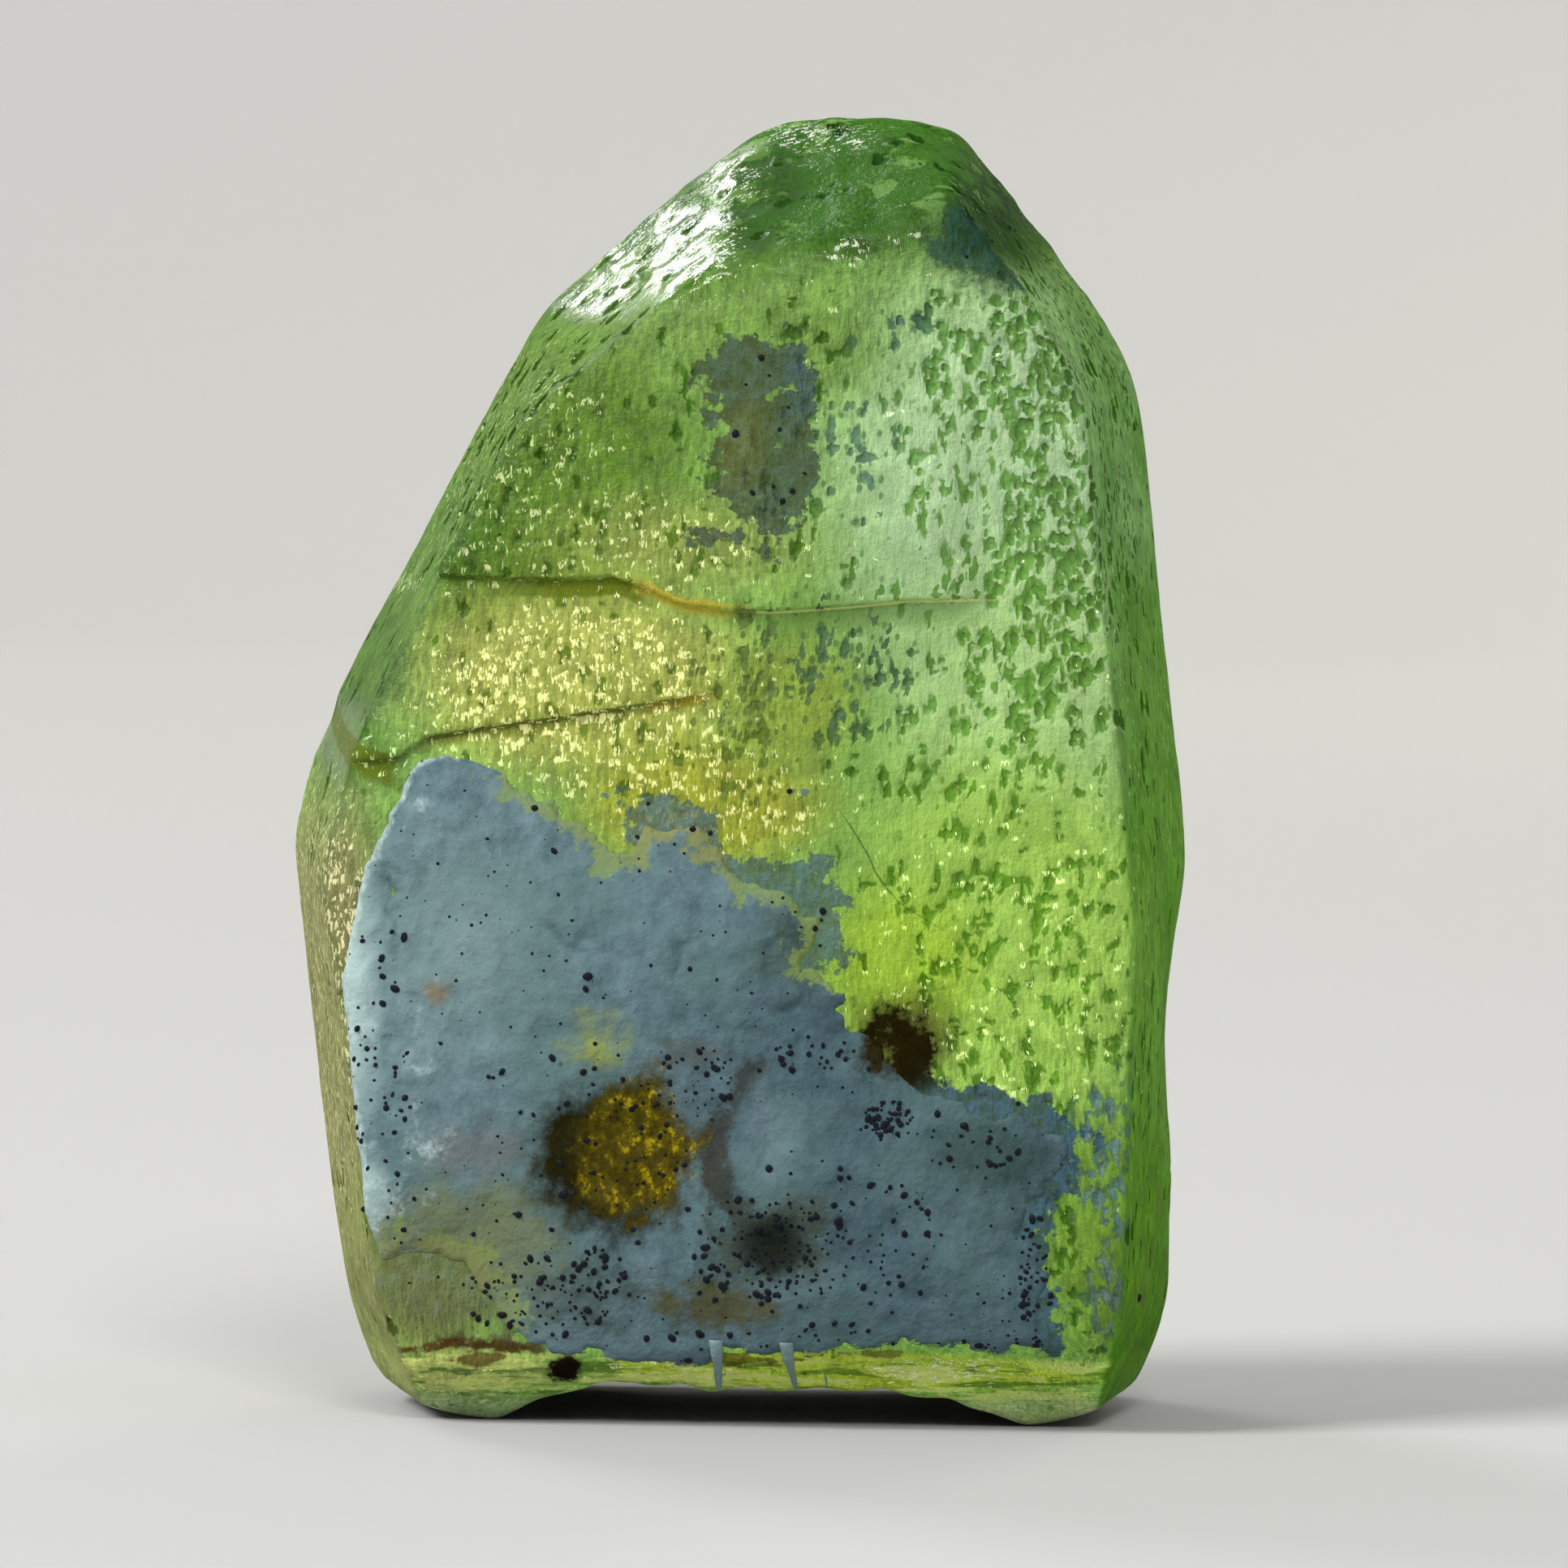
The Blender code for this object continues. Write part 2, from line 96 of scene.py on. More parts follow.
def lattice_noise(points: Array, size: Union[float, Triple], seed: int) -> Array:
    """Smooth random values over points.

    Args:
        points: Places in millimetres, one row each.
        size: Distance between the lattice's knots, one number or one for each axis.
        seed: Number that fixes the pattern.

    Returns:
        One value between -1 and 1 for each place.
    """
    scaled = points / np.array(size)
    cell = np.floor(scaled).astype(np.int64)
    part = scaled - cell
    part = part * part * (3.0 - 2.0 * part)
    table = np.random.default_rng(seed).uniform(-1.0, 1.0, 65536)
    total = np.zeros(len(points))
    for corner in np.ndindex(2, 2, 2):
        near = cell + np.array(corner)
        key = (near[:, 0] * 73856093) ^ (near[:, 1] * 19349663) ^ (near[:, 2] * 83492791)
        weight = np.prod(np.where(np.array(corner) == 1, part, 1.0 - part), axis=1)
        total += table[key & 65535] * weight
    return total


def outline_distance(x: Array, z: Array, outline: Sequence[Pair]) -> Array:
    """Signed distance from a closed outline in the front view.

    Args:
        x: Places to the right, in millimetres.
        z: Heights of the places.
        outline: Corners of the outline, going round.

    Returns:
        Distances, positive inside the outline.
    """
    corners = np.array(outline)
    nearest = np.full(x.shape, 1e9)
    inside = np.zeros(x.shape, dtype=bool)
    for (ax, az), (bx, bz) in zip(corners, np.roll(corners, -1, axis=0)):
        span = (bx - ax) ** 2 + (bz - az) ** 2
        along = np.clip(((x - ax) * (bx - ax) + (z - az) * (bz - az)) / span, 0.0, 1.0)
        gap = np.hypot(x - ax - along * (bx - ax), z - az - along * (bz - az))
        nearest = np.minimum(nearest, gap)
        inside ^= ((az > z) != (bz > z)) & (x < (bx - ax) * (z - az) / (bz - az + 1e-12) + ax)
    return np.where(inside, nearest, -nearest)


# ------------------------------------------------------------------- meshes
def solid_piece(name: str, places: Array, faces: Array) -> bpy.types.Object:
    """Make an object at the origin from quads.

    Args:
        name: Name of the piece.
        places: Corners in millimetres.
        faces: Four corner numbers for each face, turning so that faces point outwards.

    Returns:
        The new object, linked to the scene.
    """
    mesh = bpy.data.meshes.new(name)
    mesh.vertices.add(len(places))
    mesh.vertices.foreach_set("co", (places * MM).astype(np.float32).ravel())
    mesh.loops.add(faces.size)
    mesh.loops.foreach_set("vertex_index", faces.astype(np.int32).ravel())
    mesh.polygons.add(len(faces))
    mesh.polygons.foreach_set("loop_start", np.arange(0, faces.size, 4, dtype=np.int32))
    mesh.update(calc_edges=True)
    mesh.validate()
    piece = bpy.data.objects.new(name, mesh)
    bpy.context.scene.collection.objects.link(piece)
    return piece


def settle(piece: bpy.types.Object) -> None:
    """Turn a piece's modifiers into its plain mesh and remove them."""
    bpy.context.view_layer.update()
    shaped = piece.evaluated_get(bpy.context.evaluated_depsgraph_get())
    mesh = bpy.data.meshes.new_from_object(shaped)
    piece.modifiers.clear()
    piece.data = mesh
    mesh.name = piece.name


def thin_out(piece: bpy.types.Object, triangles: int) -> None:
    """Reduce a piece's mesh to about the given number of triangles."""
    before = sum(len(polygon.vertices) - 2 for polygon in piece.data.polygons)
    thinner = piece.modifiers.new("thin", "DECIMATE")
    thinner.decimate_type = "COLLAPSE"
    thinner.ratio = min(1.0, triangles / before)
    settle(piece)


def places_of(piece: bpy.types.Object) -> Array:
    """Return a piece's vertices in millimetres."""
    flat = np.zeros(len(piece.data.vertices) * 3, np.float32)
    piece.data.vertices.foreach_get("co", flat)
    return flat.reshape(-1, 3).astype(float) / MM


def keep(piece: bpy.types.Object, **marks: Array) -> None:
    """Keep a number or a colour for each vertex, under each name that materials read."""
    for name, values in marks.items():
        if values.ndim == 1:
            layer = piece.data.attributes.new(name, "FLOAT", "POINT")
            layer.data.foreach_set("value", values.astype(np.float32))
        else:
            layer = piece.data.attributes.new(name, "FLOAT_COLOR", "POINT")
            full = np.concatenate([values, np.ones((len(values), 1))], axis=1)
            layer.data.foreach_set("color", full.astype(np.float32).ravel())


def open_edges(faces: Array, count: int) -> Array:
    """Return the edges that only one of the quads has, of a mesh with so many vertices."""
    edges = np.concatenate([faces[:, [number, (number + 1) % 4]] for number in range(4)])
    keys, back = edges[:, 0] * count + edges[:, 1], edges[:, 1] * count + edges[:, 0]
    return edges[~np.isin(keys, back)]


def ring_quads(rings: int, sides: int, first: int) -> list[tuple[int, ...]]:
    """Return the quads between rings of vertices that follow one another from the first one's number."""
    quads = []
    for ring in range(rings - 1):
        one, two = first + ring * sides, first + (ring + 1) * sides
        for number in range(sides):
            after = (number + 1) % sides
            quads.append((one + number, two + number, two + after, one + after))
    return quads


def box_shell(cells: tuple[int, int, int]) -> tuple[Array, Array]:
    """Cut the surface of a block into cells.

    Args:
        cells: Number of cells along X, Y and Z.

    Returns:
        Corner places from 0 to 1 along each axis, and quads that face outwards.
    """
    quads = []
    for axis in range(3):
        across, along = (axis + 1) % 3, (axis + 2) % 3
        first, second = np.meshgrid(np.arange(cells[across]), np.arange(cells[along]), indexing="ij")
        for level in (0, cells[axis]):
            corners = []
            for step_a, step_b in ((0, 0), (1, 0), (1, 1), (0, 1)):
                knot = np.zeros((first.size, 3), np.int64)
                knot[:, axis] = level
                knot[:, across] = first.ravel() + step_a
                knot[:, along] = second.ravel() + step_b
                corners.append(knot)
            quad = np.stack(corners, axis=1)
            quads.append(quad[:, ::-1] if level == 0 else quad)
    knots = np.concatenate(quads)
    counts = np.array(cells) + 1
    keys = (knots[..., 0] * counts[1] + knots[..., 1]) * counts[2] + knots[..., 2]
    unique, faces = np.unique(keys.ravel(), return_inverse=True)
    places = np.stack(np.unravel_index(unique, counts), axis=1)
    return places / np.array(cells), faces.reshape(-1, 4)


# --------------------------------------------------------------- node boards
class NodeBoard:
    """A node tree with short ways to add nodes and join them."""

    def __init__(self, tree: bpy.types.NodeTree) -> None:
        """Take the tree that nodes are added to."""
        self.tree = tree

    def add(self, kind: str, **settings: object) -> bpy.types.Node:
        """Add a node of one kind and give it its settings."""
        node = self.tree.nodes.new(kind)
        for name, value in settings.items():
            setattr(node, name, value)
        return node

    def feed(self, socket: Socket, value: Feed) -> None:
        """Join a socket to another one, or give it a plain value."""
        if isinstance(value, bpy.types.NodeSocket):
            self.tree.links.new(value, socket)
        else:
            socket.default_value = value

    def fill(self, node: bpy.types.Node, **values: Feed) -> bpy.types.Node:
        """Feed a node's inputs; a value's name has underscores for the spaces in its input's name."""
        for name, value in values.items():
            self.feed(node.inputs[name.replace("_", " ")], value)
        return node

    def work(self, kind: str, operation: str, *values: Feed, **settings: object) -> Socket:
        """Add a node that works something out from some values and return the result's socket."""
        node = self.add(kind, operation=operation, **settings)
        for socket, value in zip(node.inputs, values):
            self.feed(socket, value)
        return node.outputs[0]

    plus = partialmethod(work, "ShaderNodeMath", "ADD")
    minus = partialmethod(work, "ShaderNodeMath", "SUBTRACT")
    times = partialmethod(work, "ShaderNodeMath", "MULTIPLY")
    scaled = partialmethod(work, "ShaderNodeMath", "MULTIPLY_ADD")
    most = partialmethod(work, "ShaderNodeMath", "MAXIMUM")
    product = partialmethod(work, "ShaderNodeVectorMath", "MULTIPLY")

    def step(self, value: Feed, low: Feed, high: Feed, bottom: Feed = 0.0, top: Feed = 1.0) -> Socket:
        """Rise smoothly from bottom to top as value goes from low to high."""
        node = self.add("ShaderNodeMapRange", interpolation_type="SMOOTHSTEP")
        self.fill(node, Value=value, From_Min=low, From_Max=high, To_Min=bottom, To_Max=top)
        return node.outputs[0]

    def blend(self, factor: Feed, first: Feed, second: Feed, mode: str = "MIX") -> Socket:
        """Blend two colours and return the result's socket."""
        node = self.add("ShaderNodeMix", data_type="RGBA", blend_type=mode, clamp_factor=True)
        for index, value in ((0, factor), (6, first), (7, second)):
            if isinstance(value, tuple) and len(value) == 3:
                value = (*value, 1.0)
            self.feed(node.inputs[index], value)
        return node.outputs[2]

    def number(self, name: str) -> Socket:
        """Read a number that the mesh keeps for each vertex."""
        return self.add("ShaderNodeAttribute", attribute_name=name).outputs["Fac"]

    def colour(self, name: str) -> Socket:
        """Read a colour that the mesh keeps for each vertex."""
        return self.add("ShaderNodeAttribute", attribute_name=name).outputs["Color"]

    def millimetres(self, stretch: Triple = (1.0, 1.0, 1.0), turn: Triple = (0.0, 0.0, 0.0)) -> Socket:
        """Return the place on the object in millimetres, turned and then stretched if asked."""
        place = self.add("ShaderNodeTexCoord").outputs["Object"]
        mapping = self.add("ShaderNodeMapping", vector_type="POINT")
        return self.fill(mapping, Vector=place, Rotation=turn,
                         Scale=tuple(part / MM for part in stretch)).outputs[0]

    def noise(self, place: Feed, scale: Feed, detail: float = 3.0, roughness: float = 0.5) -> Socket:
        """Return cloudy noise between 0 and 1; scale is in spots for each unit of place."""
        node = self.add("ShaderNodeTexNoise", noise_dimensions="3D", normalize=True)
        return self.fill(node, Vector=place, Scale=scale, Detail=detail, Roughness=roughness).outputs[0]

    def line_height(self, x: Socket, line: Sequence[Pair]) -> Socket:
        """Return a line's height over x, both in millimetres.

        Args:
            x: Place to the right.
            line: Points of the line, from left to right.

        Returns:
            The height's socket.
        """
        curve = self.add("ShaderNodeFloatCurve")
        points = curve.mapping.curves[0].points
        points[0].location = (0.0, line[0][1] / CURVE_SPAN)
        points[1].location = (1.0, line[-1][1] / CURVE_SPAN)
        for corner_x, corner_z in line:
            points.new(corner_x / CURVE_SPAN + 0.5, corner_z / CURVE_SPAN)
        for point in points:
            point.handle_type = "VECTOR"
        curve.mapping.update()
        self.fill(curve, Value=self.scaled(x, 1.0 / CURVE_SPAN, 0.5))
        return self.times(curve.outputs[0], CURVE_SPAN)

    def group(self, tree: bpy.types.NodeTree, **values: Feed) -> bpy.types.Node:
        """Place a node group and fill its inputs."""
        return self.fill(self.add("ShaderNodeGroup", node_tree=tree), **values)


def new_finish(name: str) -> tuple[bpy.types.Material, NodeBoard, bpy.types.Node]:
    """Start a material, and return it with a board on its nodes and its Principled shader."""
    material = bpy.data.materials.new(name)
    material.use_nodes = True
    return material, NodeBoard(material.node_tree), material.node_tree.nodes["Principled BSDF"]


class EffectGroups:
    """Shader node groups for the effects that several finishes use."""

    def __init__(self) -> None:
        """Build each group once."""
        self.ragged = self._ragged_mask()
        self.grain = self._fine_grain()
        self.flecks = self._fleck_field()
        self.pits = self._etch_pits()

    @staticmethod
    def _start(name: str, inputs: dict[str, Optional[float]], outputs: Sequence[str]) -> tuple:
        """Make an empty group.

        Args:
            name: Name of the group.
            inputs: Default of each plain number that it takes, by name, or None for a place.
            outputs: Names of the output sockets, all plain numbers.

        Returns:
            The tree, a board on it, its input sockets by name and its output node.
        """
        tree = bpy.data.node_groups.new(name, "ShaderNodeTree")
        for label, default in inputs.items():
            kind = "NodeSocketVector" if default is None else "NodeSocketFloat"
            socket = tree.interface.new_socket(label, in_out="INPUT", socket_type=kind)
            if default is not None:
                socket.default_value = default
        for label in outputs:
            tree.interface.new_socket(label, in_out="OUTPUT", socket_type="NodeSocketFloat")
        board = NodeBoard(tree)
        return tree, board, board.add("NodeGroupInput").outputs, board.add("NodeGroupOutput")

    def _ragged_mask(self) -> bpy.types.NodeTree:
        """Turn a soft ramp into a patch with a torn, grainy edge."""
        tree, board, given, result = self._start(
            "Ragged Mask", {"Ramp": 0.5, "Place": None, "Scale": 2.0, "Raggedness": 0.6, "Softness": 0.1},
            ["Mask"])
        cloud = board.noise(given["Place"], given["Scale"], detail=4.0, roughness=0.70)
        tear = board.times(board.minus(cloud, 0.5), board.times(given["Raggedness"], 2.0))
        steep = board.scaled(given["Raggedness"], 0.3, 1.0)
        level = board.plus(board.scaled(board.minus(given["Ramp"], 0.5), steep, 0.5), tear)
        mask = board.step(level, board.minus(0.5, given["Softness"]), board.plus(0.5, given["Softness"]))
        board.fill(result, Mask=board.times(mask, board.step(given["Ramp"], 0.0, 0.12)))
        return tree

    def _fine_grain(self) -> bpy.types.NodeTree:
        """Grain of an earthy or frosted surface: a value for colour and a height for bump."""
        tree, board, given, result = self._start(
            "Fine Grain", {"Place": None, "Scale": 3.0, "Contrast": 1.0}, ["Value", "Height"])
        coarse = board.noise(given["Place"], given["Scale"], detail=3.0, roughness=0.70)
        spread = board.times(board.minus(coarse, 0.5), given["Contrast"])
        board.fill(result, Value=board.plus(spread, 0.5, use_clamp=True), Height=coarse)
        return tree

    @staticmethod
    def _stretched(board: NodeBoard, given: bpy.types.bpy_prop_collection) -> Socket:
        """Stretch a group's place by its Across and Along."""
        scale = board.add("ShaderNodeCombineXYZ")
        board.fill(scale, X=given["Across"], Y=given["Across"], Z=given["Along"])
        return board.product(given["Place"], scale.outputs[0])

    @staticmethod
    def _cells(board: NodeBoard, place: Socket, feature: str) -> bpy.types.NodeOutputs:
        """Cut the place into random cells, one to a unit, and return what is measured in them."""
        node = board.add("ShaderNodeTexVoronoi", voronoi_dimensions="3D", feature=feature)
        return board.fill(node, Vector=place, Scale=1.0).outputs

    @staticmethod
    def _chances(board: NodeBoard, colour: Socket, amount: Socket) -> tuple[Socket, Socket]:
        """Return which cells are taken at an amount, and another random number for each cell."""
        parts = board.add("ShaderNodeSeparateColor")
        board.feed(parts.inputs[0], colour)
        return board.step(board.minus(amount, parts.outputs[0]), 0.0, 0.04), parts.outputs[1]

    def _fleck_field(self) -> bpy.types.NodeTree:
        """Scatter small flecks; Across and Along are how many fit in a millimetre each way."""
        tree, board, given, result = self._start(
            "Fleck Field", {"Place": None, "Across": 4.0, "Along": 2.0, "Amount": 0.3}, ["Mask"])
        cells = self._cells(board, self._stretched(board, given), "F1")
        there, chance = self._chances(board, cells["Color"], given["Amount"])
        size = board.scaled(given["Amount"], 0.55, 0.45, use_clamp=True)
        radius = board.times(board.scaled(chance, 0.28, 0.18), size)
        spot = board.step(board.minus(cells["Distance"], radius), 0.0, 0.10, 1.0, 0.0)
        board.fill(result, Mask=board.times(spot, there))
        return tree

    def _etch_pits(self) -> bpy.types.NodeTree:
        """Cut angular etch pits, which the finish paints dark as shade, with rims that it paints pale as a
        highlight; at a high Amount only a net of rims is left between them.
        """
        tree, board, given, result = self._start(
            "Etch Pits", {"Place": None, "Across": 2.3, "Along": 1.2, "Amount": 0.3}, ["Pit", "Rim"])
        stretched = self._stretched(board, given)
        cloud = board.fill(board.add("ShaderNodeTexNoise", noise_dimensions="3D"),
                           Vector=stretched, Scale=1.3, Detail=1.0)
        place = board.work("ShaderNodeVectorMath", "ADD", stretched, cloud.outputs["Color"])
        there, chance = self._chances(board, self._cells(board, place, "F1")["Color"], given["Amount"])
        edge = self._cells(board, place, "DISTANCE_TO_EDGE")["Distance"]
        inner = board.minus(edge, board.scaled(chance, 0.17, 0.03))
        pit = board.times(board.step(inner, 0.0, 0.05), there)
        rim = board.times(board.step(inner, -0.11, -0.02), there)
        board.fill(result, Pit=pit, Rim=board.minus(rim, pit, use_clamp=True))
        return tree


# ------------------------------------------------------------ the shape rules
class Side(Enum):
    """Which way a surface faces."""

    FRONT = "front"
    BACK = "back"
    FLANK = "flank"


@dataclass(frozen=True)
class Corner:
    """A corner of the rim, and the lean of the two bevels that start at it, in degrees."""

    x: float
    z: float
    front_lean: float
    back_lean: float


@dataclass(frozen=True)
class BroadFace:
    """A broad face: turn from the front towards +X, lift of its normal, distance from the heart."""

    turn: float
    lift: float
    distance: float


@dataclass(frozen=True)
class Scoop:
    """A hollow worn or broken out of the body."""

    centre: Triple
    half: Triple
    lip: float


@dataclass(frozen=True)
class Ledge:
    """A growth ledge: the layer above the line stands proud of the layer below."""

    line: tuple[Pair, ...]
    step: float
    width: float
    reach: float
    fade: float = 2.2

    def height(self, x: Array, z: Array) -> Array:
        """Return the ledge's height over the face."""
        points = np.array(self.line)
        over = z - np.interp(x, points[:, 0], points[:, 1])
        rise = smooth_step(-0.5 * self.width, 0.5 * self.width, over)
        fall = 1.0 - smooth_step(0.4, self.reach, over)
        ends = smooth_step(points[0, 0] - 0.5, points[0, 0] + 0.5, x)
        ends = ends * (1.0 - smooth_step(points[-1, 0] - self.fade, points[-1, 0], x))
        return self.step * rise * fall * ends


@dataclass(frozen=True)
class Spot:
    """A soft oval region of the front view."""

    x: float
    z: float
    half_x: float
    half_z: float
    core: float = 0.35

    def weight(self, x: Array, z: Array) -> Array:
        """Return 1 in the spot's core, falling to 0 at its edge."""
        away = np.hypot((x - self.x) / self.half_x, (z - self.z) / self.half_z)
        return 1.0 - smooth_step(self.core, 1.0, away)


Share = tuple[Spot, float]


@dataclass(frozen=True)
class PitField:
    """Etch pits of one size on one side of the crystal."""

    name: str
    side: Side
    count: int
    spots: tuple[Spot, ...]
    half_width: Pair
    half_height: Pair
    depth: Pair
    lean: Pair
    seed: int


@dataclass(frozen=True)
class CrystalBody:
    """The body: what lies inside all its faces, with softened edges, less the scoops."""

    heart: Triple = (0.0, 0.0, 19.5)
    rim_y: float = 0.6
    ground: float = -0.60
    sharpness: float = 5.5
    rim: tuple[Corner, ...] = (
        Corner(9.60, -0.38, 1.0, 0.5), Corner(13.25, 0.72, 10.0, 12.0), Corner(14.35, 3.60, 11.0, 17.0),
        Corner(14.66, 19.40, 14.5, 21.0), Corner(12.70, 33.90, 15.0, 24.0), Corner(11.10, 36.60, 12.0, 30.0),
        Corner(6.80, 41.65, 14.0, 36.0), Corner(4.60, 42.35, 12.0, 40.0), Corner(0.40, 41.90, 18.0, 33.0),
        Corner(-6.55, 35.90, 9.0, 27.0), Corner(-13.50, 22.40, 10.0, 25.0), Corner(-14.66, 18.30, 8.5, 19.0),
        Corner(-12.45, 2.60, 10.0, 14.0), Corner(-11.45, 0.58, 1.0, 0.5), Corner(-7.80, -0.38, 0.0, 0.0),
    )
    broad_faces: tuple[BroadFace, ...] = (
        BroadFace(-7.0, 5.0, 8.90), BroadFace(6.0, 4.5, 8.95), BroadFace(-2.0, -1.5, 9.25),
        BroadFace(-24.7, 57.6, 18.55),
        BroadFace(2.0, -50.0, 18.75), BroadFace(173.0, 3.5, 8.95), BroadFace(188.0, 8.0, 9.15),
        BroadFace(180.0, -4.0, 9.45), BroadFace(180.0, -42.0, 18.4),
    )
    scoops: tuple[Scoop, ...] = (
        Scoop((-2.6, -6.0, -3.2), (6.6, 26.0, 4.55), 0.20), Scoop((0.4, -1.0, -3.6), (6.4, 30.0, 4.9), 0.20),
        Scoop((3.6, -4.0, -4.3), (9.2, 28.0, 5.55), 0.20), Scoop((-9.4, 0.6, -5.5), (7.4, 4.6, 6.35), 0.25),
        Scoop((10.9, 1.4, -5.6), (8.0, 4.6, 6.5), 0.25), Scoop((2.2, 3.6, -7.2), (8.6, 7.6, 9.3), 0.30),
        Scoop((-3.4, 1.0, -6.4), (6.6, 6.2, 8.1), 0.30), Scoop((-16.6, -1.0, 22.5), (3.35, 9.5, 2.1), 0.45),
        Scoop((16.3, -1.0, 12.6), (2.35, 9.0, 6.4), 0.60), Scoop((13.6, -10.9, 17.2), (2.6, 3.0, 4.2), 0.50),
        Scoop((2.0, 13.0, 24.5), (9.5, 4.3, 5.2), 0.50), Scoop((-13.2, 10.6, 9.5), (4.0, 4.0, 6.0), 0.40),
    )

    def planes(self) -> tuple[Array, Array]:
        """Return the normals and offsets of all the faces."""
        normals, offsets = [], []
        for corner, after in zip(self.rim, self.rim[1:] + self.rim[:1]):
            length = math.hypot(after.x - corner.x, after.z - corner.z)
            out_x, out_z = (after.z - corner.z) / length, -(after.x - corner.x) / length
            for lean, side in ((corner.front_lean, -1.0), (corner.back_lean, 1.0)):
                angle = math.radians(lean)
                normal = np.array([out_x * math.cos(angle), side * math.sin(angle), out_z * math.cos(angle)])
                normals.append(normal)
                offsets.append(float(normal @ np.array([corner.x, self.rim_y, corner.z])))
        for face in self.broad_faces:
            turn, lift = math.radians(face.turn), math.radians(face.lift)
            level = math.cos(lift)
            normal = np.array([math.sin(turn) * level, -math.cos(turn) * level, math.sin(lift)])
            normals.append(normal)
            offsets.append(float(normal @ np.array(self.heart)) + face.distance)
        normals.append(np.array([0.0, 0.0, -1.0]))
        offsets.append(-self.ground)
        return np.array(normals), np.array(offsets)

    def field(self, points: Array) -> Array:
        """Return the signed distance, roughly, of points from the body."""
        normals, offsets = self.planes()
        distances = points @ normals.T - offsets
        largest = distances.max(axis=1, keepdims=True)
        spread = np.exp(self.sharpness * (distances - largest)).sum(axis=1)
        result = largest[:, 0] + np.log(spread) / self.sharpness
        for scoop in self.scoops:
            scaled = (points - np.array(scoop.centre)) / np.array(scoop.half)
            reach = np.linalg.norm(scaled, axis=1)
            gradient = np.maximum(np.linalg.norm(scaled / np.array(scoop.half), axis=1), 1e-6)
            result = soft_max(result, -reach * (reach - 1.0) / gradient, scoop.lip)
        return result

    def draw_in(self, directions: Array) -> Array:
        """Return where lines from the heart leave the body."""
        near = np.full(len(directions), 2.0)
        far = np.full(len(directions), 40.0)
        for _ in range(HALVINGS):
            middle = 0.5 * (near + far)
            outside = self.field(np.array(self.heart) + directions * middle[:, None]) > 0.0
            far = np.where(outside, middle, far)
            near = np.where(outside, near, middle)
        return np.array(self.heart) + directions * near[:, None]

    def front(self, x: Array, z: Array) -> Array:
        """Return the points of the front face over places in the front view."""
        near = np.full(x.shape, -14.0)
        far = np.full(x.shape, -1.0)
        for _ in range(HALVINGS):
            middle = 0.5 * (near + far)
            outside = self.field(np.stack([x, middle, z], axis=1)) > 0.0
            near = np.where(outside, middle, near)
            far = np.where(outside, far, middle)
        return np.stack([x, far, z], axis=1)

    def normals(self, points: Array) -> Array:
        """Return the outward normals at points on the surface."""
        slopes = [self.field(points + step) - self.field(points - step) for step in np.eye(3) * SLOPE_STEP]
        result = np.stack(slopes, axis=1)
        return result / np.linalg.norm(result, axis=1, keepdims=True)


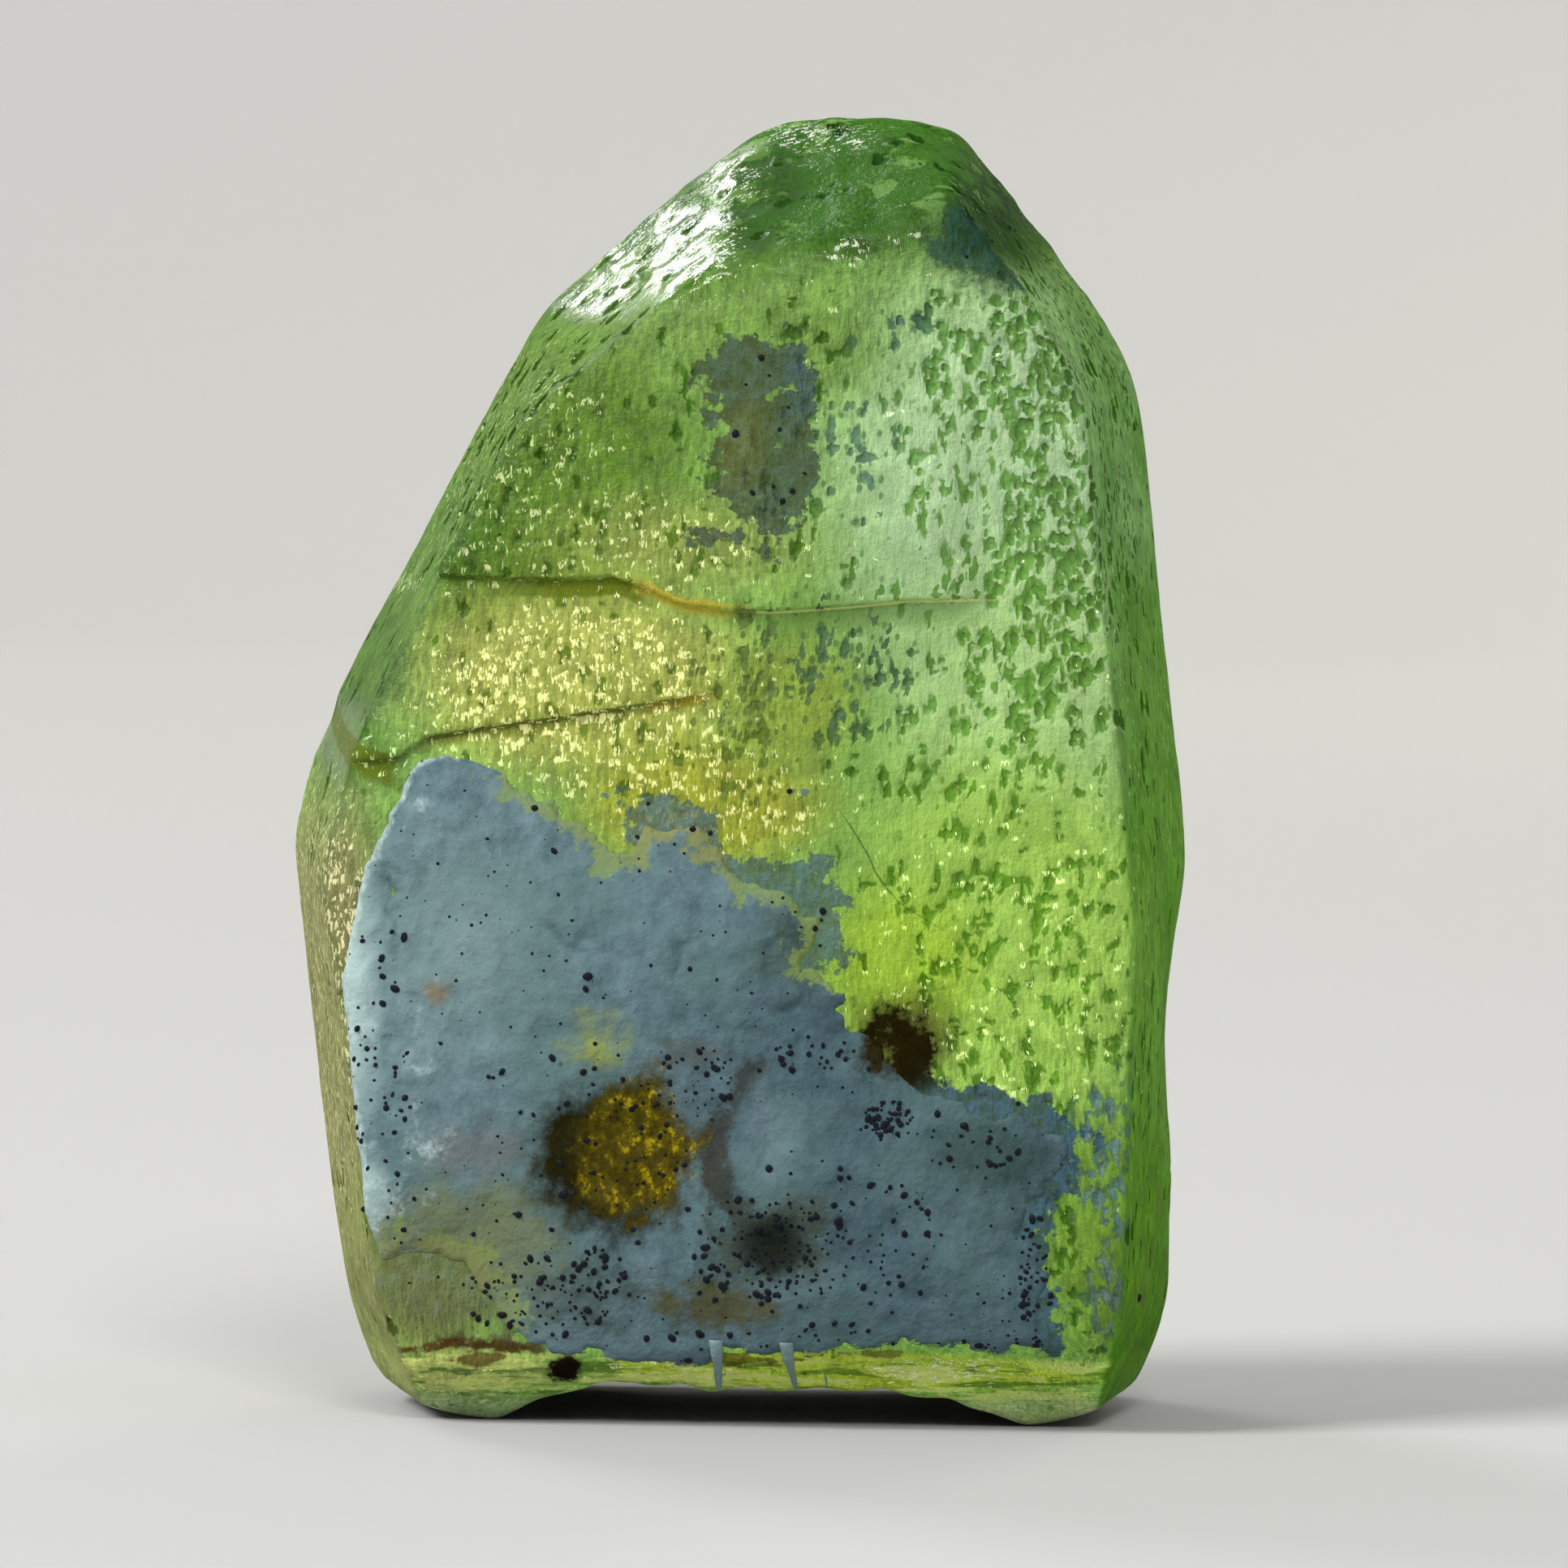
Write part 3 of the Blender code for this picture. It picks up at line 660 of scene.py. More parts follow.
@dataclass(frozen=True)
class CrystalRelief:
    """Everything that steps, ripples, scratches or pits the body's faces."""

    ledges: tuple[Ledge, ...] = (
        Ledge(UPPER_LEDGE, 0.36, 0.20, 9.0), Ledge(LOWER_LEDGE, 0.26, 0.16, 3.6),
    )
    back_ledge_z: float = 16.0
    back_ledge_rise: float = 0.22
    back_ledge_step: float = 0.30
    ripple_centre: Pair = (-11.0, -10.0)
    ripple_length: float = 2.1
    ripple_height: float = 0.06
    waves: tuple[tuple[float, Triple], ...] = ((0.06, (11.0, 13.0, 16.0)), (0.03, (6.4, 8.6, 7.7)))
    pit_fields: tuple[PitField, ...] = (
        PitField("large pits, right of the front", Side.FRONT, 210,
                 (Spot(11.0, 29.0, 3.6, 9.5, 0.5), Spot(9.0, 34.5, 4.5, 3.5, 0.4)),
                 (0.09, 0.17), (0.16, 0.34), (0.07, 0.12), (4.0, 16.0), 21),
        PitField("pits over the right half", Side.FRONT, 300,
                 (Spot(5.5, 29.0, 8.0, 10.0, 0.5), Spot(8.0, 19.0, 5.5, 8.0, 0.4)),
                 (0.07, 0.14), (0.12, 0.28), (0.04, 0.08), (-8.0, 10.0), 22),
        PitField("pits low on the right", Side.FRONT, 170,
                 (Spot(9.5, 12.0, 5.0, 8.0, 0.5), Spot(11.6, 6.0, 2.8, 5.0, 0.5)),
                 (0.07, 0.13), (0.10, 0.22), (0.04, 0.07), (-10.0, 10.0), 23),
        PitField("pits left of the middle", Side.FRONT, 110,
                 (Spot(-3.0, 24.0, 9.0, 5.0, 0.5), Spot(-5.0, 31.0, 7.0, 6.0, 0.5)),
                 (0.06, 0.12), (0.12, 0.26), (0.03, 0.06), (-12.0, 6.0), 24),
        PitField("pits on the flanks", Side.FLANK, 520, (Spot(0.0, 21.0, 60.0, 30.0, 0.9),),
                 (0.10, 0.24), (0.18, 0.45), (0.05, 0.12), (-10.0, 10.0), 25),
        PitField("pits on the back", Side.BACK, 480, (Spot(-3.0, 22.0, 16.0, 22.0, 0.6),),
                 (0.10, 0.26), (0.18, 0.50), (0.05, 0.12), (-12.0, 12.0), 26),
    )

    def steps(self, points: Array, normals: Array) -> Array:
        """Return the height of the growth ledges."""
        x, z = points[:, 0], points[:, 2]
        relief = sum(ledge.height(x, z) for ledge in self.ledges) * smooth_step(0.35, 0.8, -normals[:, 1])
        over = z - self.back_ledge_z - self.back_ledge_rise * x
        behind = smooth_step(-0.12, 0.12, over) * (1.0 - smooth_step(0.5, 5.0, over))
        return relief + self.back_ledge_step * behind * smooth_step(0.35, 0.8, normals[:, 1])

    def swell(self, points: Array) -> Array:
        """Return slow waves that keep the faces from being dead flat."""
        relief = np.zeros(len(points))
        for number, (height, lengths) in enumerate(self.waves):
            phase = points * (2.0 * math.pi) / np.array(lengths) + 1.7 * number
            across = np.sin(phase[:, 0] + 0.6 * phase[:, 1])
            relief += height * across * np.cos(phase[:, 2] - 0.4 * phase[:, 1])
        return relief

    def ripples(self, points: Array, normals: Array) -> Array:
        """Return rings of low ripples over the broken base."""
        away = np.hypot(points[:, 0] - self.ripple_centre[0], points[:, 1] - self.ripple_centre[1])
        rings = np.sin(away * 2.0 * math.pi / self.ripple_length)
        return self.ripple_height * rings * smooth_step(0.82, 0.95, -normals[:, 2])

    def etching(self, points: Array, normals: Array) -> Array:
        """Return the fine unevenness of etched and broken faces."""
        z = points[:, 2]
        relief = 0.035 * lattice_noise(points, (1.5, 1.5, 2.6), 31)
        relief += 0.020 * lattice_noise(points, (0.62, 0.62, 1.3), 32)
        relief += 0.011 * lattice_noise(points, (0.27, 0.27, 0.62), 33)
        tip = smooth_step(35.0, 37.5, z)
        broken = np.abs(lattice_noise(points, (1.9, 1.9, 1.5), 34)) * 0.16
        broken += np.abs(lattice_noise(points, (0.8, 0.8, 0.6), 35)) * 0.06
        under = smooth_step(0.35, 0.8, -normals[:, 2])
        return relief - tip * broken + 0.05 * under * lattice_noise(points, 0.7, 36)

    def low(self, points: Array, normals: Array) -> Array:
        """Return all the relief but the pits, which run out at the feet."""
        z = points[:, 2]
        relief = self.swell(points) + self.steps(points, normals) + self.etching(points, normals)
        return relief * smooth_step(0.2, 1.4, z) + self.ripples(points, normals) * smooth_step(0.3, 0.8, z)


@dataclass(frozen=True)
class PitCutter:
    """Presses a field of etch pits into points on the surface."""

    pits: PitField
    keep_clear: tuple[Pair, ...]

    def _facing(self, normals: Array) -> Array:
        """Return how far each normal faces this field's side."""
        front = smooth_step(0.55, 0.85, -normals[:, 1])
        back = smooth_step(0.55, 0.85, normals[:, 1])
        if self.pits.side is Side.FRONT:
            return front
        if self.pits.side is Side.BACK:
            return back
        return (1.0 - front) * (1.0 - back) * smooth_step(0.9, 0.6, -normals[:, 2])

    def press(self, points: Array, normals: Array) -> Array:
        """Find how deep the pits are at each point.

        Args:
            points: Surface points in millimetres.
            normals: Outward normals there.

        Returns:
            Depths, 0 outside the pits.
        """
        pits = self.pits
        x, z = points[:, 0], points[:, 2]
        chance = sum(spot.weight(x, z) for spot in pits.spots) * self._facing(normals)
        chance = chance * smooth_step(2.2, 3.4, z)
        if pits.side is Side.FRONT:
            chance = chance * (1.0 - smooth_step(-0.7, -0.3, outline_distance(x, z, self.keep_clear)))
        chooser = np.random.default_rng(pits.seed)
        chosen = chooser.choice(len(points), size=pits.count, replace=False, p=chance / chance.sum())
        order = np.argsort(z)
        heights = z[order]
        depth = np.zeros(len(points))
        for index in chosen:
            size = chooser.uniform() ** 1.6
            half_width = pits.half_width[0] + (pits.half_width[1] - pits.half_width[0]) * size
            half_height = pits.half_height[0] + (pits.half_height[1] - pits.half_height[0]) * size
            deep = pits.depth[0] + (pits.depth[1] - pits.depth[0]) * size
            lean = math.radians(chooser.uniform(*pits.lean))
            reach = 1.3 * half_height
            low, high = np.searchsorted(heights, (z[index] - reach, z[index] + reach))
            near = order[low:high]
            away = points[near] - points[index]
            level = np.array([-normals[index, 1], normals[index, 0], 0.0])
            level /= max(np.linalg.norm(level), 1e-6)
            upright = np.cross(normals[index], level)
            side = away @ level
            rise = away @ upright
            through = away @ normals[index]
            across = side * math.cos(lean) + rise * math.sin(lean)
            along = rise * math.cos(lean) - side * math.sin(lean)
            width = half_width * (1.0 - 0.5 * np.clip(along / half_height, -1.0, 1.0))
            gone = np.sqrt((across / width) ** 2 + (along / half_height) ** 2 + (through / 0.5) ** 2)
            depth[near] = np.maximum(depth[near], deep * (1.0 - smooth_step(0.45, 1.05, gone)))
        return depth


# --------------------------------------------------------- colours and marks
@dataclass(frozen=True)
class Tint:
    """A soft oval of the crystal's colour in the front view; on the front some ovals also carry painted light
    and shade.
    """

    name: str
    spot: Spot
    colour: Triple
    strength: float = 1.0


def tint_rows(*rows: tuple) -> tuple[Tint, ...]:
    """Make tints from rows of a name, a spot, a colour from 0 to 255 and, where not full, a strength."""
    return tuple(Tint(name, Spot(*spot), paint(*colour), *strength) for name, spot, colour, *strength in rows)


@dataclass(frozen=True)
class FlankTint:
    """The crystal's colour on its narrow right (1) or left (-1) side, between two heights; the dark right one
    is partly painted shade.
    """

    name: str
    side: float
    low: float
    high: float
    colour: Triple

    def weight(self, places: Array, normals: Array) -> Array:
        """Return how far this colour holds at each place, fading over wavering ends."""
        turned = smooth_step(0.35, 0.75, self.side * normals[:, 0])
        turned *= 0.82 + 0.18 * lattice_noise(places, 2.4, 62)
        z = places[:, 2] + 2.4 * lattice_noise(places, 4.5, 61)
        over = smooth_step(self.low - 2.5, self.low + 2.5, z)
        return turned * over * smooth_step(self.high + 2.5, self.high - 2.5, z)


@dataclass(frozen=True)
class Seam:
    """A coloured band along a line of the front face, from so far under it to so far over it."""

    name: str
    line: tuple[Pair, ...]
    under: float
    over: float
    start: Pair
    end: Pair
    colour: Triple
    strength: float = 0.9
    soft: float = 0.12


class Spread(Enum):
    """How a stain lies: as a whole patch, as dots that fill the pits, or as a glassy run."""

    PATCH = "patch"
    DOTS = "dots"
    GLASSY = "glassy"


@dataclass(frozen=True)
class Stain:
    """A place with film, rust or dust on the front, with a ragged edge."""

    name: str
    outline: tuple[Pair, ...]
    softness: float
    colour: Triple
    cover: float
    spread: Spread = Spread.PATCH
    weight: float = 1.0
    tear: float = 3.4


@dataclass
class StainMarks:
    """What the stains leave at each vertex: the strongest ramp, and a mean cover, colour and torn edge."""

    ramp: Array
    cover: Array
    colour: Array
    tear: Array

    @classmethod
    def of(cls, stains: Sequence[Stain], spread: Spread, x: Array, z: Array) -> "StainMarks":
        """Add up the stains that lie one way, at places in the front view."""
        chosen = [stain for stain in stains if stain.spread is spread]
        levels = np.array([smooth_step(-stain.softness, stain.softness, outline_distance(x, z, stain.outline))
                           for stain in chosen])
        shares = levels ** 2 * np.array([[stain.weight] for stain in chosen]) + 1e-6
        shares /= shares.sum(axis=0)
        return cls(levels.max(axis=0), shares.T @ np.array([stain.cover for stain in chosen]),
                   shares.T @ np.array([stain.colour for stain in chosen]),
                   shares.T @ np.array([stain.tear for stain in chosen]))


def blend_towards(colours: Array, colour: Triple, weight: Array) -> Array:
    """Move rows of colours towards one colour by a weight for each row."""
    return colours + (np.array(colour) - colours) * weight[:, None]


def oval(x: float, z: float, half_x: float, half_z: float, lean: float = 0.0) -> tuple[Pair, ...]:
    """Return the outline of an oval, leaning to the right by some degrees."""
    angle = math.radians(lean)
    corners = []
    for number in range(14):
        turn = 2.0 * math.pi * number / 14
        across, along = half_x * math.cos(turn), half_z * math.sin(turn)
        corners.append((x + across * math.cos(angle) + along * math.sin(angle),
                        z - across * math.sin(angle) + along * math.cos(angle)))
    return tuple(corners)


def strongest(shares: Sequence[Share], x: Array, z: Array, least: float = 0.0) -> Array:
    """Return the strongest of some spots' shares at each place, and no less than the least."""
    result = np.full(len(x), least)
    for spot, share in shares:
        result = np.maximum(result, share * spot.weight(x, z))
    return result


# ------------------------------------------------------------------ finishes
@dataclass(frozen=True)
class PeridotFinish:
    """Clear green crystal with a frosted, etched skin, and films of grey clay on it; its colours carry
    painted glints and sheen, painted highlights on pit rims and ledges, and painted shade in pits and under
    ledges.
    """

    ior: float = 1.66
    density: float = 60.0
    absorption: Triple = (0.50, 0.80, 0.28)
    clearness: float = 1.9
    shine: Triple = (0.60, 0.64, 0.55)
    # Painted highlight on the pits' rims, and painted shade in the pits and etched dashes.
    rim: Triple = paint(214, 236, 196)
    pit: Triple = (0.18, 0.31, 0.07)
    # Colours of the painted glints and the painted sheen.
    warm_glint: Triple = (1.0, 0.93, 0.62)
    cold_glint: Triple = (0.94, 0.97, 0.92)
    seams_with_painted_light: tuple[Seam, ...] = (
        # Bands along the ledges and the notch: the orange and brown ones are stains; the shade and olive
        # bands under the ledges, the lower ledge's dark line and the notch's dark arc are painted shade; the
        # pale line on the upper ledge is a painted highlight.
        Seam("shade under the upper ledge", UPPER_LEDGE, -1.0, 0.0, (0.0, 1.5), (6.0, 8.6),
             paint(104, 138, 58), 0.55, 0.5),
        Seam("painted shade at the upper ledge's lip", UPPER_LEDGE, -0.62, 0.0, (-8.8, -6.0), (-3.5, -2.6),
             paint(98, 112, 14), 0.95, 0.16),
        Seam("orange turn of the upper ledge", UPPER_LEDGE, -0.30, 0.22, (-3.9, -3.1), (-1.2, 0.8),
             paint(196, 172, 56), 0.85, 0.20),
        Seam("painted highlight on the upper ledge's lip", UPPER_LEDGE, -0.03, 0.06, (-0.8, 0.6), (7.2, 8.4),
             paint(222, 226, 140), 0.9, 0.05),
        Seam("painted shade under the lower ledge", LOWER_LEDGE, -0.42, 0.02, (-10.6, -9.4), (-2.8, -1.8),
             paint(128, 124, 34), 0.6, 0.25),
        Seam("painted shadow line of the lower ledge", LOWER_LEDGE, -0.12, 0.08, (-10.6, -9.8), (-3.4, -2.4),
             paint(80, 82, 14), 0.75, 0.09),
        Seam("brown end of the lower ledge", LOWER_LEDGE, -0.34, 0.05, (-3.4, -2.7), (-1.4, -0.4),
             paint(136, 118, 24), 0.9, 0.14),
        Seam("painted shade in the notch", NOTCH_LINE, -0.30, 0.80, (-14.2, -13.7), (-11.3, -10.6),
             paint(88, 104, 12), 0.92, 0.3),
    )

    def make(self, effects: EffectGroups) -> bpy.types.Material:
        """Build the material.

        Args:
            effects: The shared effect groups.

        Returns:
            The finished material.
        """
        material, board, glass = new_finish("peridot_crystal_finish")
        place = board.millimetres()
        threads = board.noise(board.millimetres((6.0, 6.0, 1.5), (0.0, 0.10, 0.0)), 1.0, detail=2.0,
                              roughness=0.62)
        pit, rim = self._pits(board, effects)
        # Painted highlight on the pits' rims, then painted shade in the pits and etched dashes.
        rim_highlighted = board.blend(board.times(rim, 0.55), self._zones(board, place, threads), self.rim)
        pitted = board.blend(board.times(pit, 0.90), rim_highlighted, self.pit, "MULTIPLY")
        seamed_with_painted_light, seam_and_painted_light_cover = self._seams_with_painted_light(board, place, pitted)
        grain = board.group(effects.grain, Place=place, Scale=2.2, Contrast=1.6).outputs
        clayed, clay_cover = self._clay(board, effects, place, grain["Value"], seamed_with_painted_light, pit)

        # Painted glints: bright flecks whose colour stands in for light caught by the etched facets.
        wavy = board.fill(board.add("ShaderNodeCombineXYZ"), X=board.times(threads, 0.9)).outputs[0]
        wavy = board.work("ShaderNodeVectorMath", "ADD", board.millimetres(turn=(0.0, 0.12, 0.0)), wavy)
        # Painted sheen: pale streaks that stand in for light reflected by the glossy facet by the tip, the
        # base band and the right flank.
        gleam = board.number("gleam")
        spark = board.group(effects.flecks, Place=wavy, Across=6.6, Along=2.5,
                            Amount=board.most(board.number("sparkle"), gleam)).outputs["Mask"]
        painted_glint_mask = board.times(spark, board.minus(1.0, clay_cover, use_clamp=True))
        height = board.plus(grain["Height"], board.times(threads, 0.5))
        height = board.minus(height, board.times(board.number("pit"), 0.6))
        bump = board.fill(board.add("ShaderNodeBump"), Strength=1.0, Distance=0.13 * MM,
                          Height=board.times(height, board.number("frost"))).outputs[0]

        clear = board.product(seamed_with_painted_light, (self.clearness,) * 3)
        board.fill(glass, Base_Color=board.work("ShaderNodeVectorMath", "MINIMUM", clear, (1.0, 1.0, 1.0)),
                   Roughness=board.step(board.number("frost"), 0.0, 1.0, 0.08, 0.42), Normal=bump,
                   Metallic=0.0, IOR=self.ior, Transmission_Weight=1.0, Specular_Tint=(*self.shine, 1.0))
        # Colour of the painted glints and sheen, pale and leaning towards the crystal's colour.
        painted_glint_colour = board.blend(gleam, self.warm_glint, self.cold_glint)
        painted_glint_colour = board.blend(board.scaled(gleam, 0.4, 0.5),
                           board.product(board.colour("tint"), (2.2, 2.2, 2.2)), painted_glint_colour)
        dull = board.scaled(board.number("rims"), -0.26, 0.74)
        skin = board.fill(board.add("ShaderNodeBsdfPrincipled"), Normal=bump, IOR=1.3,
                          Specular_IOR_Level=0.07,
                          Base_Color=board.blend(board.times(painted_glint_mask, 0.85), clayed, painted_glint_colour),
                          Roughness=board.scaled(painted_glint_mask, -0.26, dull))

        marked = board.times(board.most(board.most(seam_and_painted_light_cover, pit), painted_glint_mask), 0.85)
        joined = board.add("ShaderNodeMixShader")
        board.feed(joined.inputs[0], board.most(board.most(board.number("cover"), marked), clay_cover))
        board.feed(joined.inputs[1], glass.outputs[0])
        board.feed(joined.inputs[2], skin.outputs[0])
        volume = board.fill(board.add("ShaderNodeVolumeAbsorption"), Color=(*self.absorption, 1.0),
                            Density=self.density)
        board.fill(material.node_tree.nodes["Material Output"], Surface=joined.outputs[0],
                   Volume=volume.outputs[0])
        return material

    @staticmethod
    def _zones(board: NodeBoard, place: Socket, threads: Socket) -> Socket:
        """Colour the zones, with striations, the broken tip's dark patches and pale veins, and painted shade
        and painted highlight streaks along the base band.
        """
        mottle = board.step(board.noise(place, 0.7, detail=2.0, roughness=0.6), 0.3, 0.7, 0.84, 1.14)
        striped = board.minus(board.step(threads, 0.3, 0.7, 0.66, 1.34), 1.0)
        striped = board.plus(1.0, board.times(striped, board.number("striation")))
        zoned = board.product(board.colour("tint"), board.times(mottle, striped))
        broken, band = board.number("broken"), board.number("band")
        patches = board.noise(place, 0.75, detail=3.0, roughness=0.62)
        streaks = board.noise(board.millimetres((0.34, 0.34, 2.5)), 1.0, detail=3.0, roughness=0.65)
        for mask, where, share, colour in (
            (board.step(patches, 0.50, 0.57), broken, 0.8, paint(62, 112, 34)),
            (board.step(patches, 0.38, 0.45, 0.6, 0.0), broken, 1.0, paint(128, 172, 88)),
            # Painted shade and painted highlight streaks along the base band.
            (board.step(streaks, 0.40, 0.49, 0.85, 0.0), band, 1.0, paint(58, 98, 8)),
            (board.step(streaks, 0.52, 0.58, 0.0, 0.90), band, 1.0, paint(240, 248, 140)),
        ):
            zoned = board.blend(board.times(board.times(mask, where), share), zoned, colour)
        return zoned

    @staticmethod
    def _pits(board: NodeBoard, effects: EffectGroups) -> tuple[Socket, Socket]:
        """Return where painted shade darkens the pits and etched dashes, and where a painted highlight
        lightens the pits' rims.
        """
        deep = board.step(board.number("pit"), 0.20, 0.46)
        lip = board.step(board.number("pit"), 0.02, 0.16)
        cut = board.group(effects.pits, Place=board.millimetres(turn=(0.0, -0.20, 0.0)), Across=4.0,
                          Along=1.9, Amount=board.number("pitted")).outputs
        dash = board.group(effects.flecks, Place=board.millimetres(turn=(0.0, -0.14, 0.0)), Across=3.8,
                           Along=2.3,
                           Amount=board.most(board.number("etch"), board.number("fill"))).outputs["Mask"]
        pit = board.most(board.most(deep, cut["Pit"]), board.times(dash, 0.6))
        rim = board.minus(board.most(board.times(lip, 0.5), cut["Rim"]), pit, use_clamp=True)
        return pit, board.times(rim, board.number("rims"))

    def _seams_with_painted_light(self, board: NodeBoard, place: Socket, colour: Socket) -> tuple[Socket, Socket]:
        """Draw the bands along the ledges, which are stains, painted shade and a painted highlight, and the
        hairline crack.

        Args:
            board: The material's board.
            place: Place on the crystal in millimetres.
            colour: Colour that the bands are drawn over.

        Returns:
            The new colour, and how much of the surface the bands take.
        """
        x, _, z = board.fill(board.add("ShaderNodeSeparateXYZ"), Vector=place).outputs
        wander = board.times(board.minus(board.noise(place, 1.6, detail=2.0), 0.5), 0.34)
        front = board.number("front")
        lines = dict.fromkeys(seam.line for seam in self.seams_with_painted_light)
        rises = {line: board.minus(z, board.line_height(x, line)) for line in lines}
        covers = board.times(front, 0.0)
        for seam in self.seams_with_painted_light:
            rise = board.plus(rises[seam.line], board.times(wander, min(1.0, 4.0 * seam.soft)))
            mask = board.times(board.step(rise, seam.under, seam.under + seam.soft),
                               board.step(rise, seam.over, seam.over + 0.4 * seam.soft, 1.0, 0.0))
            ends = board.times(board.step(x, *seam.start), board.step(x, *seam.end, 1.0, 0.0))
            mask = board.times(board.times(mask, ends), board.times(front, seam.strength))
            colour = board.blend(mask, colour, seam.colour)
            covers = board.most(covers, mask)
        side = board.plus(board.number("crack"), board.times(wander, 0.3))
        side = board.work("ShaderNodeMath", "ABSOLUTE", side)
        crack = board.times(board.step(side, 0.015, 0.05, 0.8, 0.0), board.number("crack_reach"))
        return board.blend(crack, colour, paint(70, 92, 24)), covers

    @staticmethod
    def _clay(board: NodeBoard, effects: EffectGroups, place: Socket, grain: Socket,
              colour: Socket, pit: Socket) -> tuple[Socket, Socket]:
        """Lay the clay: torn films, and dots that fill the pits.

        Args:
            board: The material's board.
            effects: The shared effect groups.
            place: Place on the crystal in millimetres.
            grain: The fine grain's value.
            colour: Colour that the clay lies on.
            pit: Where the pits are.

        Returns:
            The new colour, and how much of the surface the clay takes.
        """
        filled = board.times(pit, board.step(board.number("fill"), 0.05, 0.5, 0.0, 0.9))
        tear = board.number("film_tear")
        patch = board.group(effects.ragged, Ramp=board.number("film"), Place=place, Scale=0.75,
                            Raggedness=tear, Softness=board.scaled(tear, -0.12, 0.55))
        filmed = board.times(patch.outputs["Mask"], board.number("film_cover"))
        shade = board.step(grain, 0.2, 0.8, 0.70, 1.22)
        film = board.colour("film_colour")
        film = board.blend(board.step(grain, 0.35, 0.70), film, board.product(film, (0.88, 1.02, 1.55)))
        dotted = board.blend(filled, colour, board.product(board.colour("fill_colour"), shade))
        return board.blend(filmed, dotted, board.product(film, shade)), board.most(filled, filmed)


@dataclass(frozen=True)
class MatrixFinish:
    """Fine pale clay-like matrix, blue-grey, with stained and glassy places, painted light on its upper left
    and a painted highlight on its raised left edge, painted shade to the lower right and in its creases, and
    painted glints in the amber.
    """

    dark: Triple = paint(68, 91, 97)
    light: Triple = paint(108, 133, 140)
    greenish: Triple = paint(84, 110, 108)
    # Painted light, paler on the upper left and along the left edge.
    pale: Triple = paint(158, 182, 180)
    # Painted highlight on the raised left edge and painted light over the left side.
    worn: Triple = paint(184, 204, 202)
    # Painted glints in the amber.
    gold: Triple = paint(156, 140, 6)
    soot: Triple = paint(8, 11, 18)
    shade: Triple = (0.58, 0.62, 0.66)
    # Painted shade in the creases.
    hollow: Triple = (0.40, 0.46, 0.48)

    def make(self, effects: EffectGroups) -> bpy.types.Material:
        """Build the material.

        Args:
            effects: The shared effect groups.

        Returns:
            The finished material.
        """
        material, board, shader = new_finish("matrix_crust_finish")
        place = board.millimetres()
        grain = board.group(effects.grain, Place=place, Scale=1.3, Contrast=1.6).outputs
        base = board.blend(grain["Value"], self.dark, self.light)
        base = board.blend(board.number("shade"), base, self.shade, "MULTIPLY")
        clouds = board.noise(place, 0.22, detail=3.0, roughness=0.5)
        base = board.blend(board.step(clouds, 0.42, 0.62, 0.0, 0.5), base, self.greenish)
        # Painted light, paler on the upper left and along the left edge.
        base = board.blend(board.number("pale"), base, self.pale)
        paint_tear = board.times(board.number("paint_tear"), 0.3)
        for ramp, scale, tear, softness, cover, colour in (
            ("paint", 1.0, paint_tear, 0.55, board.number("paint_cover"), board.colour("paint_colour")),
            # The worn ramp is a painted highlight on the raised left edge and painted light over the left
            # side.
            ("worn", 3.0, 0.5, 0.25, 0.75, self.worn),
            ("thin", 1.2, 2.6, 0.25, 0.70, board.colour("under")),
        ):
            mask = board.group(effects.ragged, Ramp=board.number(ramp), Place=place, Scale=scale,
                               Raggedness=tear, Softness=softness).outputs["Mask"]
            base = board.blend(board.times(mask, cover), base, colour)
            if ramp == "worn":
                # Painted shade in the creases.
                base = board.blend(board.times(board.number("hollow"), 0.55), base, self.hollow, "MULTIPLY")

        run = board.group(effects.ragged, Ramp=board.number("resin"), Place=place, Scale=1.0, Raggedness=1.0,
                          Softness=0.42)
        resin = board.times(run.outputs["Mask"], board.number("resin_cover"))
        cloud = board.noise(board.millimetres((2.2, 2.2, 1.8), (0.0, 0.5, 0.0)), 1.0, detail=4.0,
                            roughness=0.72)
        amber = board.product(board.colour("resin_colour"), board.step(cloud, 0.40, 0.62, 0.55, 1.35))
        # Painted gold glints in the amber.
        amber = board.blend(board.step(cloud, 0.55, 0.64, 0.0, 0.85), amber, self.gold)
        dust = board.group(effects.flecks, Place=place, Across=5.0, Along=5.0, Amount=board.number("dust"))
        specked = board.blend(board.times(dust.outputs["Mask"], 0.95), board.blend(resin, base, amber),
                              self.soot)
        dull = board.step(grain["Value"], 0.0, 1.0, 0.92, 0.72)
        bump = board.fill(board.add("ShaderNodeBump"), Strength=1.0, Distance=0.14 * MM,
                          Height=grain["Height"])
        board.fill(shader, Base_Color=specked, Roughness=board.minus(dull, board.times(resin, 0.3)),
                   Metallic=0.0, IOR=1.4, Specular_IOR_Level=0.12, Normal=bump.outputs[0])
        return material


@dataclass(frozen=True)
class OreFinish:
    """Near-black ore grains with a dull shine."""

    dark: Triple = (0.003, 0.004, 0.007)
    light: Triple = (0.010, 0.012, 0.020)

    def make(self, effects: EffectGroups) -> bpy.types.Material:
        """Build the material with the shared grain."""
        material, board, shader = new_finish("ore_grain_finish")
        grain = board.group(effects.grain, Place=board.millimetres(), Scale=6.0,
                            Contrast=1.6).outputs["Value"]
        board.fill(shader, Base_Color=board.blend(grain, self.dark, self.light),
                   Roughness=board.step(grain, 0.0, 1.0, 0.55, 0.35), Specular_IOR_Level=0.08)
        return material


